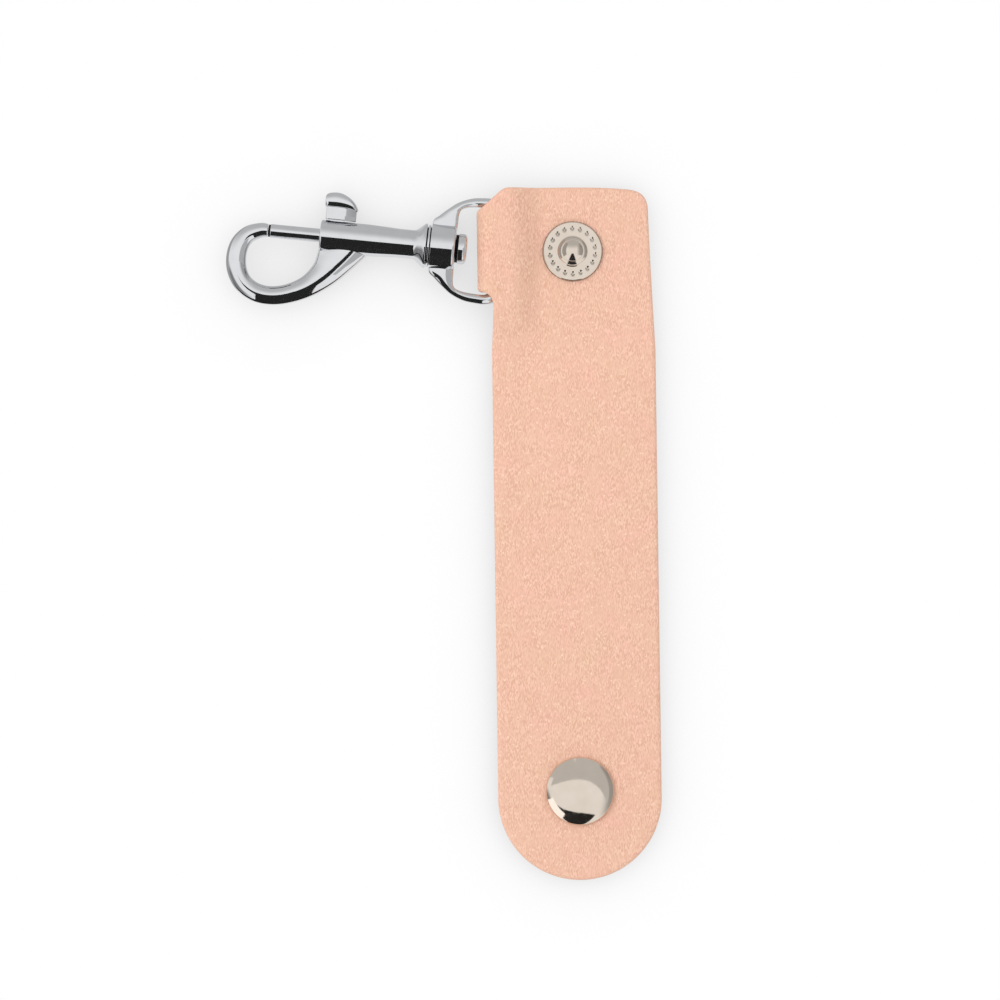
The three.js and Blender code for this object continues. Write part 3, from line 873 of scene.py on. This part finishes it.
    def turn(self, thing: Thing, number: int, above: str, below: str) -> None:
        """Bakes a piece's place into its mesh.

        The turns' reaches above and below each bend line were fitted to the closed pose.

        Args:
            thing: A length of strap or the tip.
            number: Number of its bend line, from 1. Not used.
            above: Body above the bend line. Not used.
            below: Body below it. Not used.
        """
        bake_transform(thing)

    def tip(self) -> None:
        """Builds the tip: columns from the last cut to a half circle, crowded towards its edge."""
        half = self.width / 2
        upper = self.cuts[-1]
        end = self.cap_place - self.overhang - np.sqrt(np.maximum(half**2 - self.columns**2, 0))
        rows = crowded(40, Crowd.LAST_END)[::-1, None]
        y = upper + rows * (end - upper)
        u = self.columns + 0 * y
        thing = self.leather(
            "leather_tip", u.ravel(), y.ravel(), grid_quads(numbered(u.shape)), ["strap_tip"], [upper],
        )
        self.turn(thing, len(self.bends), "link_10", "tip")

    def build(self) -> None:
        """Builds the whole strap from head to tip."""
        self.head()
        for number in range(1, len(self.bends)):
            self.length(number)
        self.tip()


@dataclass
class Snap:
    """Snap fastener: a stud riveted to the head, and a capped socket with a spring ring on the tip."""

    finish: PlatedMetal
    ring_finish: PlatedMetal
    flange_top: float = 0.6
    ball_radius: float = 2.7
    ball_centre: float = 0.4
    dimples: int = 18
    dimple_steps: int = 14  # points round the stud for each dimple
    dimple_circle: float = 4.18
    dimple_depth: float = 0.28
    dimple_length: float = 0.32
    dimple_width: float = 0.3
    ring_radius: float = 2.05
    ring_wire: float = 0.3
    ring_gap: float = 0.5  # radians

    @staticmethod
    def seat(node: str, level: float = 0.0) -> Seat:
        """Seat on the middle of a CAD node, at a level in millimetres."""
        return Seat(np.array([*box(node).mean(0)[:2], level]), np.eye(3))

    def lathe(self, name: str, profile: Array, node: str, body: str, level: float = 0.0) -> None:
        """Builds a piece for a CAD node, turned from a closed profile, that rides on a body."""
        skin = tube(self.seat(node, level).place(turned(profile)), loop=True)
        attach(piece(name, skin, self.finish, [node]), body)

    def stud(self) -> None:
        """Builds the stud: flange with a circle of punched dimples, step, neck and ball.

        Each dimple is an elliptic bell: the flange sinks by the depth times a Gaussian of radius and angle.
        """
        top = self.flange_top
        flange = rounded([(1.2, 2.1, 0), (1.2, 0, 0.1), (5.5, 0, 0.05), (5.5, 0.12, 0.05), (5.36, top, 0.06)])
        flat = np.stack([np.linspace(5.2, 2.95, 40), np.full(40, top)], 1)
        step = parabola((2.62, 0.72), (2.3, 1.16), (1.55, 1.2), 16)
        neck = rounded([(1.4, 1.22, 0.05), (1.4, 1.64, 0.1), (1.94, 2.0, 0.06), (1.94, 2.27, 0.04)])
        turn = np.radians(np.linspace(45, 0, 24))
        ball = np.stack([self.ball_radius * np.sin(turn), self.ball_centre + self.ball_radius * np.cos(turn)], 1)
        profile = np.concatenate([flange, flat, [[2.74, top]], step, neck, ball, [[0, 2.1]]])
        grid = turned(profile, self.dimples * self.dimple_steps)
        radius = np.hypot(grid[..., 0], grid[..., 1])
        pitch = 2 * np.pi / self.dimples
        offset = (np.arctan2(grid[..., 1], grid[..., 0]) / pitch) % 1 - 0.5
        bell = ((radius - self.dimple_circle) / self.dimple_length) ** 2
        bell = bell + (offset * pitch * self.dimple_circle / self.dimple_width) ** 2
        on_flange = np.isclose(grid[..., 2], top) & (radius > 2.9)
        grid[..., 2] -= np.where(on_flange, self.dimple_depth * np.exp(-bell), 0)
        skin = tube(self.seat("snap_stud", box("snap_stud")[0, 2]).place(grid), loop=True)
        # painted shade: the flange's outer wall is painted dark as the contact shadow round the stud
        bare = (radius > 5.4).ravel()  # the outer wall
        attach(piece("stud", skin, self.finish, ["snap_stud"], bare=bare), "head")

    def ring(self) -> None:
        """Builds the split spring ring: a round wire along most of a circle."""
        seat = self.seat("snap_socket", box("socket_spring")[:, 2].mean())
        turn = np.linspace(self.ring_gap / 2, 2 * np.pi - self.ring_gap / 2, 72)
        outward = np.stack([np.cos(turn), np.sin(turn), 0 * turn], 1)
        up = np.tile([0.0, 0.0, self.ring_wire], (len(turn), 1))
        skin = tube(seat.place(swept(self.ring_radius * outward, self.ring_wire * outward, up, 12)))
        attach(piece("spring_ring", skin, self.ring_finish, ["socket_spring"]), "tip")

    def build(self) -> None:
        """Builds both halves."""
        self.stud()
        post = rounded([
            (0, 0.15, 0), (1.0, 0.15, 0.3), (1.5, 0, 0.3), (4.7, 0, 0.5), (5.2, 0.5, 0.4), (5.1, 1.0, 0.25),
            (1.0, 1.0, 0.1), (1.0, 6.25, 0.2), (0, 6.25, 0),
        ])
        self.lathe("stud_rivet", post, "stud_post", "head")
        dome = through([
            (5.7, 0.02), (6.08, 0.06), (6.25, 0.4), (6.06, 0.8), (5.2, 1.38), (3.8, 1.88), (2.0, 2.17), (0, 2.25),
        ], 64)
        hollow = through([(0, 1.8), (2.0, 1.72), (3.6, 1.45), (4.9, 1.0), (5.5, 0.5)], 30)
        flange = box("snap_cap")[0, 2]
        self.lathe("cap", np.concatenate([dome, hollow]), "snap_cap", "tip", flange)
        self.lathe("cap_rivet", rounded([
            (1.4, 2.5, 0.15), (1.9, 2.1, 0.2), (2.4, 2.0, 0.1), (2.7, 2.02, 0.06), (2.7, 2.28, 0.06), (1.9, 2.4, 0.1),
            (1.9, flange, 0.1), (4.8, flange, 0.1), (4.8, flange + 0.4, 0.15), (1.4, flange + 0.4, 0.3),
        ], closed=True), "cap_post", "tip")
        self.lathe("socket", rounded([
            (2.85, 0, 0.2), (4.95, 0, 0.4), (5.4, 0.45, 0.35), (5.4, 1.2, 0.3), (4.9, 1.65, 0.25), (4.9, 2.7, 0.15),
            (2.05, 2.7, 0.1), (2.05, 2.4, 0.1), (3.1, 2.4, 0.2), (3.1, 0.45, 0.1), (2.85, 0.45, 0.15),
        ], closed=True), "snap_socket", "tip")
        self.ring()


@dataclass
class SwivelHook:
    """Swivel eye and bolt hook: eye on the bar, pin, washer, bored barrel with its bow, bolt, thumb tab, spring.

    Local places are millimetres along the hook's axis from the bar, towards the tab side, and up.
    """

    finish: PlatedMetal
    wire_finish: PlatedMetal
    sides: int = 72  # of a turned piece
    eye_wire: float = 0.9
    boss: tuple[float, float, float, float] = (-12.3, -7.8, 4.2, 1.75)  # end, face, radius, bore
    barrel: Span = (-32.7, -13.1)
    barrel_radius: float = 2.95
    barrel_waist: float = 2.65
    barrel_collar: float = 4.1
    waist_run: Span = (-24.5, -17.0)
    collar_run: Span = (-15.3, -13.4)
    lips: Span = (0.4, 0.08)  # rounding of the front and back edge
    chamber: tuple[float, float, float] = (-31.2, -14.1, 1.95)  # front, back, radius
    guide: float = 1.42
    pin_seat: float = 1.8
    slot: tuple[float, float, float] = (-31.35, -20.75, 0.85)  # front, back, half width
    slot_pull: Span = (1.3, 2.2)  # how far grid lines bend round its front and back end
    bow_thick: float = 1.85
    bolt_tip: float = -41.8
    bolt_radius: float = 1.26
    spring: tuple[float, float, float, float, int] = (-26.9, -16.2, 1.45, 0.18, 7)

    def __post_init__(self) -> None:
        """Takes the hook's place and direction from its joints."""
        axis = np.array(JOINTS["hook_swivel"]["axis"], float)
        axis = axis / np.linalg.norm(axis)
        up = np.array([0.0, 0.0, 1.0])
        origin = np.array(JOINTS["eye_swing"]["pos_m"], float) / MM
        self.seat = Seat(origin, np.stack([axis, np.cross(up, axis), up], 1))

    def lathe(self, name: str, profile: Array, bare: Array, node: str, body: str) -> None:
        """Builds a piece turned about the hook's axis, with some points of its profile painted dark as shade."""
        skin = tube(self.seat.on_side().place(turned(profile, self.sides)), loop=True)
        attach(piece(name, skin, self.finish, [node], bare=np.repeat(bare, self.sides)), body)

    def eye(self) -> None:
        """Builds the eye: a rod from the boss round both arms and the bar, drawn between two outlines, and the boss."""
        inner = np.array([
            (-7.75, 2.6), (-7.65, 4.6), (-7.6, 6.1), (-7.25, 7.1), (-6.3, 7.6), (-4.8, 7.85), (-3.2, 7.95),
            (-1.9, 7.95), (-1.15, 7.65), (-0.9, 6.9), (-0.9, 4.5), (-0.9, 0),
        ])
        outer = np.array([
            (-12.25, 2.6), (-12.25, 4.7), (-11.2, 5.75), (-9.7, 7.1), (-7.9, 8.45), (-5.6, 9.4), (-3.4, 9.7),
            (-1.5, 9.72), (0.2, 9.2), (0.9, 7.9), (0.9, 4.5), (0.9, 0),
        ])
        thick = np.array([1.35, 1.35, 1.3, 1.2, 1.0, *[self.eye_wire] * 7])
        power = np.array([0.4, 0.4, 0.45, 0.55, 0.75, *[1.0] * 7])
        flip = np.array([1, -1])
        whole = through(np.concatenate([
            np.column_stack([inner, outer, thick, power]),
            np.column_stack([inner * flip, outer * flip, thick, power])[-2::-1],
        ]), 160)
        rod = ribbon(whole[:, :4], whole[:, 4], 56, power=whole[:, 5])
        end, face, radius, bore = self.boss
        boss = turned(rounded([
            (bore, end, 0.12), (radius, end, 0.1), (radius, face, 0.5), (bore, face, 0.12),
        ], closed=True), self.sides)
        skin = joined(tube(self.seat.place(rod)), tube(self.seat.on_side().place(boss), loop=True))
        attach(piece("swivel_eye_casting", skin, self.finish, ["swivel_eye"]), "eye")

    def barrel_skin(self) -> Skin:
        """Barrel: outer and bore surfaces over one grid of place and angle, open at a slot with round ends.

        The radius is the parallel body less a smooth step to the waist, plus a smooth step to the collar, and less
        a quarter circle at each end. Grid lines near the slot's ends are drawn along its half circles.

        Returns:
            Points and faces in the row frame.
        """
        front, back = self.barrel
        slot_front, slot_back, half = self.slot
        opening = np.arcsin(half / self.barrel_radius)
        turn = np.concatenate([
            np.linspace(-opening, opening, 11), np.linspace(opening, 2 * np.pi - opening, 60)[1:-1],
        ])
        ends = crowded(26, Crowd.LAST_END)
        place = np.concatenate([
            front + (slot_front - front) * np.linspace(0, 1, 12) ** 1.6,
            np.linspace(slot_front, slot_back, 40)[1:],
            slot_back + (back - slot_back) * ends[1:],
        ])[:, None]
        around = np.abs((turn + np.pi) % (2 * np.pi) - np.pi)
        reach = np.sqrt(np.maximum(half**2 - (self.barrel_radius * np.sin(turn)) ** 2, 0))
        reach = np.where(around <= opening, reach, 0)
        pull = (half - reach) * (1 - smooth(around, (opening, opening + 0.6)))
        front_pull, back_pull = self.slot_pull
        along = place + pull * np.clip(1 - np.abs(place - slot_front) / front_pull, 0, 1)
        along = along - pull * np.clip(1 - np.abs(place - slot_back) / back_pull, 0, 1)

        def lip(distance: Array, size: float) -> Array:
            """Loss of radius near an end: a quarter circle."""
            inside = np.clip(distance / size, 0, 1)
            return size * (1 - np.sqrt(1 - (1 - inside) ** 2))

        outside = self.barrel_radius - (self.barrel_radius - self.barrel_waist) * smooth(along, self.waist_run)
        foot, top = self.collar_run
        rise = np.clip((along - foot) / (top - foot), 0, 1)
        outside = outside + (self.barrel_collar - self.barrel_waist) * (0.4 * smooth(rise) + 0.6 * rise)
        front_lip, back_lip = self.lips
        outside = outside - lip(along - front, front_lip) - lip(back - along, back_lip)
        deep_front, deep_back, deep = self.chamber
        bore = np.where(along < deep_front, self.guide, np.where(along < deep_back, deep, self.pin_seat))
        across, height = np.cos(turn), np.sin(turn)
        outer = np.stack([along, outside * across, outside * height], -1)
        inner = np.stack([along, bore * across, bore * height], -1)
        quads = grid_quads(numbered(along.shape), ring=True).reshape(len(place) - 1, len(turn), 4)
        middle = (place[:-1, 0] + place[1:, 0]) / 2
        cut = ((middle > slot_front) & (middle < slot_back))[:, None] & (np.arange(len(turn)) < 10)
        return stitched(self.seat.place(outer.reshape(-1, 3)), self.seat.place(inner.reshape(-1, 3)), quads[~cut])

    def body(self) -> None:
        """Builds the hook's body: the barrel, and a bow drawn between two outlines from the nose into the barrel."""
        inner = [
            (-42.2, -1.2), (-43.25, -1.42), (-44.73, -2.27), (-45.51, -3.52), (-45.75, -5.24), (-45.46, -7.16),
            (-44.54, -8.81), (-42.87, -9.83), (-40.61, -10.08), (-37.91, -9.41), (-35.25, -7.8), (-33.5, -5.5),
            (-32.95, -3.6), (-32.75, -2.5), (-32.4, -2.15),
        ]
        outer = [
            (-42.25, 1.25), (-43.95, 1.26), (-46.67, 0.27), (-48.69, -2.08), (-49.45, -5.16), (-48.94, -8.44),
            (-47.06, -11.39), (-43.93, -13.17), (-40.39, -13.52), (-36.69, -12.79), (-32.95, -11.2), (-29.35, -8.7),
            (-26.5, -5.9), (-24.6, -3.8), (-23.4, -2.25),
        ]
        lines = through(np.column_stack([inner, outer]), 150)
        width = np.linalg.norm(lines[:, 2:] - lines[:, :2], axis=1) / 2
        run = np.concatenate([[0], np.cumsum(np.linalg.norm(np.diff(lines[:, 2:], axis=0), axis=1))])
        ends = 1 - 0.08 * (1 - np.clip(run / 0.2, 0, 1)) ** 2
        bow = ribbon(lines, np.minimum(width, self.bow_thick), ends=ends)
        barrel, bow = self.barrel_skin(), tube(self.seat.place(bow))
        # painted shade: the bore, the inner half of the barrel's points, is painted dark as the shade inside it
        bare = np.repeat([0, 1, 0], [len(barrel[0]) // 2, len(barrel[0]) // 2, len(bow[0])])
        thing = piece("hook_casting", joined(barrel, bow), self.finish, ["hook_body"], bare=bare)
        thing.data.set_sharp_from_angle(angle=np.radians(40))
        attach(thing, "hook")

    def tab(self) -> None:
        """Builds the thumb tab: neck in the slot, pillar, and a domed cap that overhangs to the back."""
        neck = rounded([(-31.1, -0.1, 0.2), (-28.5, -0.1, 0.2), (-28.5, 4.2, 0.2), (-31.1, 4.2, 0.2)], closed=True)
        pillar = rounded([
            (-31.95, -1.6, 0.6), (-28.4, -1.6, 0.3), (-26.35, -0.5, 0.35), (-26.35, 0.5, 0.35), (-28.4, 1.6, 0.3),
            (-31.95, 1.6, 0.6),
        ], closed=True)
        dome = through([
            (-32.3, 5.9, -32.3, 7.0, 1.2), (-32.2, 5.45, -32.2, 7.45, 1.7), (-31.9, 5.2, -31.85, 7.8, 2.0),
            (-31.2, 5.14, -31.2, 8.02, 2.1), (-30.2, 5.14, -30.1, 8.12, 2.1), (-29.2, 5.12, -29.1, 7.95, 2.1),
            (-28.2, 5.08, -28.1, 7.5, 2.05), (-27.4, 5.0, -27.3, 6.95, 1.9), (-26.8, 4.85, -26.7, 6.35, 1.7),
            (-26.35, 4.8, -26.35, 5.85, 1.4), (-26.12, 4.95, -26.1, 5.4, 0.8),
        ], 48)
        cap = ribbon(dome[:, :4], dome[:, 4], 56, power=0.45)
        blocks = [pillow(neck, -0.6, 0.6, 0.1), pillow(pillar, 3.05, 5.6, 0.15)[..., [0, 2, 1]], cap]
        skin = joined(*[tube(self.seat.place(block)) for block in blocks])
        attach(piece("thumb_slide", skin, self.finish, ["thumb_tab"]), "plunger")

    def coil(self) -> None:
        """Builds the return spring: a round wire on a helix."""
        front, back, radius, wire, turns = self.spring
        turn = np.linspace(0, 2 * np.pi * turns, turns * 30 + 1)
        outward = np.stack([0 * turn, np.cos(turn), np.sin(turn)], 1)
        place = np.linspace(front + wire, back - wire, len(turn))
        path = radius * outward + np.stack([place, 0 * turn, 0 * turn], 1)
        along = np.tile([wire, 0.0, 0.0], (len(turn), 1))
        skin = tube(self.seat.place(swept(path, wire * outward, along, 10)))
        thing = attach(piece("bolt_spring", skin, self.wire_finish, ["plunger_spring"]), "hook")
        anchor = self.seat.place(np.array([back, 0.0, 0.0])) * MM
        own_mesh(thing)

    def build(self) -> None:
        """Builds eye, pin, washer, body, bolt, tab and spring."""
        self.eye()
        pin = rounded([
            (0, -15.9, 0), (1.8, -15.9, 0.15), (1.8, -13.3, 0.1), (1.6, -13.2, 0.05), (1.6, -7.75, 0.05),
            (2.55, -7.75, 0.05), (2.55, -7.25, 0.03), (2.8, -7.2, 0.06), (2.8, -6.0, 0.4), (2.2, -5.6, 0.4),
            (0, -5.5, 0),
        ])
        # painted shade: the pin's shank inside the boss and washer is painted dark as the shade there
        self.lathe("swivel_rivet", pin, (pin[:, 1] > -13.4) & (pin[:, 1] < -7.22), "swivel_pin", "hook")
        rim = rounded([
            (1.75, -13.05, 0.03), (3.4, -13.05, 0.03), (3.45, -12.9, 0.03), (3.9, -12.88, 0.1), (3.9, -12.5, 0.1),
            (3.45, -12.48, 0.03), (3.4, -12.33, 0.03), (1.75, -12.33, 0.03),
        ], closed=True)
        # painted shade: the washer's thin inner part, in the grooves beside its rim, is painted dark as the shade there
        self.lathe("washer", rim, rim[:, 0] < 3.5, "swivel_washer", "hook")
        self.body()
        tip, radius = self.bolt_tip, self.bolt_radius
        bolt = rounded([
            (0, tip - 0.35, 0), (1.12, tip - 0.35, 0.03), (1.12, tip, 0.03), (radius, tip, 0.1), (radius, -31.0, 0.1),
            (1.75, -31.0, 0.2), (1.75, -27.2, 0.2), (1.0, -27.2, 0.1), (1.0, -25.6, 0.2), (0, -25.6, 0),
        ])
        # painted shade: the bolt's nib in front of its tip is painted dark as the shadow in the gap at the nose
        self.lathe("bolt", bolt, bolt[:, 1] < tip - 0.01, "plunger", "plunger")
        self.tab()
        self.coil()


@dataclass
class Studio:
    """White surround, soft light from the left, cards that only metal sees, and the camera overhead."""

    hook: Seat
    frame_width: float = 183.5
    centre: Span = (-13.94, -45.41)
    tilt: float = -0.8
    distance: float = 750.0
    ambient: float = 0.87
    key_power: float = 0.75
    key_place: tuple[float, float, float] = (-330.0, 40.0, 420.0)
    key_size: float = 300.0
    floor_half: float = 1500.0
    shadow_reach: float = 14.0
    shadow_tone: float = 0.72
    shadow_core: float = 0.3  # open share of the sky at which the shadow is darkest

    def card(
        self, name: str, seat: Seat, across: Sequence[float], rows: Sequence[Points], front: float, back: float,
    ) -> None:
        """Hangs a bent card that only reflections see: a grid whose rows run along X.

        Args:
            name: Name of the card.
            seat: Where its coordinates lie.
            across: Rising X, one for each column.
            rows: For each row, from the top down, its Y and Z: one pair for all columns, or a pair for each.
            front: Grey of the face that looks along Y.
            back: Grey of its other face.
        """
        count = len(across)
        bend = np.stack([np.broadcast_to(np.asarray(row, float), (count, 2)) for row in rows])
        grid = np.concatenate([np.broadcast_to(np.asarray(across, float)[:, None], (len(rows), count, 1)), bend], -1)
        material = blank_material(name)
        tree = material.node_tree
        grey = ranged(tree, add_node(tree, "NewGeometry")["Backfacing"], (0.0, 1.0), (front, back))
        glow = add_node(tree, "Emission", {"Color": grey, "Strength": 1.0})[0]
        add_node(tree, "OutputMaterial", {"Surface": glow})
        skin = seat.place(grid.reshape(-1, 3)), grid_quads(numbered(bend.shape[:2]))
        self.sheet(name, skin, material).visible_camera = False

    @staticmethod
    def sheet(name: str, skin: Skin, material: bpy.types.Material) -> Thing:
        """Adds a sheet to the studio that casts no light and no shade on the object.

        Args:
            name: Name of the sheet.
            skin: Points in millimetres and faces.
            material: What it is made of.

        Returns:
            The sheet.
        """
        mesh = bpy.data.meshes.new(name)
        mesh.from_pydata((skin[0] * MM).tolist(), [], skin[1].tolist())
        mesh.materials.append(material)
        thing = put(name, mesh)
        thing.visible_diffuse = False
        thing.visible_shadow = False
        return thing

    def floor(self) -> None:
        """Lays the white floor: a clear sheet over the white surround, tinted by the object's soft shadow.

        What swings down past the floor at a pose is still seen, and light from below still reaches the underside.
        """
        square = np.array([(-1, -1, 0), (1, -1, 0), (1, 1, 0), (-1, 1, 0)]) * self.floor_half
        material = blank_material("white_floor")
        tree = material.node_tree
        under = add_node(tree, "NewGeometry")["Backfacing"]
        open_sky = add_node(tree, "AmbientOcclusion", {"Distance": self.shadow_reach * MM}, samples=8)["AO"]
        shade = ranged(tree, open_sky, (self.shadow_core, 1.0), (self.shadow_tone, 1.0))
        clear = add_node(tree, "BsdfTransparent", {"Color": worked(tree, "MAXIMUM", shade, under)})[0]
        add_node(tree, "OutputMaterial", {"Surface": clear})
        self.sheet("floor", (square, np.array([(0, 1, 2, 3)])), material)

    def world(self) -> None:
        """Surrounds the object: white to the camera, plain soft light, and to metal a tent with three greyer walls.

        One wall darkens slowly from the zenith to the back. The others stand low down on the left and the right.
        """
        world = bpy.data.worlds.new("tent")
        bpy.context.scene.world = world
        world.use_nodes = True
        tree = world.node_tree
        tree.nodes.clear()
        path = add_node(tree, "LightPath")
        way = add_node(tree, "TexCoord")["Generated"]
        aim = add_node(tree, "SeparateXYZ", {0: way})
        lower_left = add_node(tree, "VectorMath", {0: way, 1: (-0.88, -0.47, 0)}, operation="DOT_PRODUCT")["Value"]
        wall = ranged(tree, aim["Y"], (0.15, 0.85), (0.95, 0.56), soft=True)
        right = ranged(tree, aim["X"], (0.5, 0.9), (1.0, 0.42), soft=True)
        left = ranged(tree, lower_left, (0.8, 0.96), (1.0, 0.25), soft=True)
        tent = worked(tree, "MULTIPLY", wall, worked(tree, "MULTIPLY", left, right))
        shine = add_node(tree, "Mix", {0: path["Is Glossy Ray"], 2: 1.0, 3: tent})[0]
        soft = add_node(tree, "Background", {"Color": linear("#ffffff"), "Strength": self.ambient})[0]
        view = add_node(tree, "Background", {"Color": shine, "Strength": 1.0})[0]
        direct = worked(tree, "MAXIMUM", path["Is Camera Ray"], path["Is Glossy Ray"])
        direct = worked(tree, "MAXIMUM", direct, path["Is Transmission Ray"])
        both = add_node(tree, "MixShader", {0: direct, 1: soft, 2: view})[0]
        add_node(tree, "OutputWorld", {"Surface": both})

    def lamp(self) -> None:
        """Hangs the soft box: a square lamp on the left that looks at the strap and leaves no glint."""
        light = bpy.data.lights.new("soft_box", "AREA")
        light.size = self.key_size * MM
        light.energy = self.key_power
        thing = put("soft_box", light)
        place = np.array(self.key_place)
        aim = place - np.array([*self.centre, 0.0])
        thing.location = (place * MM).tolist()
        thing.rotation_euler = (np.arctan2(np.hypot(aim[0], aim[1]), aim[2]), 0, np.arctan2(aim[0], -aim[1]))
        thing.visible_glossy = False

    def camera(self) -> None:
        """Sets the camera straight above, turned as the photograph is."""
        lens = bpy.data.cameras.new("overhead")
        lens.lens = lens.sensor_width * self.distance / self.frame_width
        thing = put("overhead", lens)
        level = box("strap_link_01")[1, 2]
        thing.location = (np.array([*self.centre, level + self.distance]) * MM).tolist()
        thing.rotation_euler = (0, 0, np.radians(self.tilt))
        bpy.context.scene.camera = thing

    def build(self) -> None:
        """Builds floor, tent, lamp, cards and camera."""
        bpy.context.scene.view_settings.view_transform = "Standard"
        self.floor()
        self.world()
        self.lamp()
        cap = Snap.seat("snap_cap")
        stud = Snap.seat("snap_stud")
        self.card("dark_card_by_hook", self.hook, (-62, 2), [
            (-13, 80), (-55, 80), (-72, 4), (-72, -3.9), (-17, -3.9),
        ], 0.02, 0.6)
        self.card("grey_card_by_hook", self.hook, (-62, -3), [(80, -3.9), (9, -3.9)], 0.55, 0.55)
        self.card("grey_card_by_bow", self.hook, (-130, -50), [(9, -3.9), (-16, -3.9)], 0.4, 0.4)
        self.card("white_card_by_stud", stud.swung(-90), (-4, 42), [(-9, 78), (-9, 0)], 0.95, 0.5)
        self.card("grey_card_by_stud", stud.swung(-90), (-14, 5), [(-8.7, 13), (-8.7, 1)], 0.4, 0.5)
        self.card("dark_card_by_stud", stud, (-9, 7), [(-20, 60), (-20, 8)], 0.02, 0.95)
        self.card("dark_card_by_cap", cap, (-85, -52, -20, 5, 22, 34), [
            [(-60, z) for z in (100, 92, 96, 92, 74, 58)], [(-60, z) for z in (96, 40, 2, 2, 30, 52)],
        ], 0.02, 0.02)
        self.card("white_card_by_cap", cap.swung(-52), (-22, 22), [(-58, 55), (-58, 2)], 1.3, 1.0)
        self.card("grey_card_by_cap", cap, (-60, -30, -14, -11, 0, 8, 14, 20, 28, 40, 60), [
            [(y, 40) for y in (7.5, 7.5, 7.5, 7.5, 7.6, 6.3, 3.5, 0, -6, -16, -30)],
            [(27, 44)] * 3 + [(60, 45)] * 8,
            [(27, 5)] * 3 + [(75, 5)] * 8,
        ], 0.95, 0.6)
        self.camera()


def main() -> None:
    """Builds strap, snap, hook and studio."""
    logging.basicConfig(level=logging.INFO, format="%(name)s: %(message)s")
    Strap(TannedLeather()).build()
    Snap(NICKEL_PLATE, SPRING_WIRE).build()
    hook = SwivelHook(CHROME_PLATE, SPRING_WIRE)
    hook.build()
    Studio(hook.seat).build()


if __name__ == "__main__":
    main()
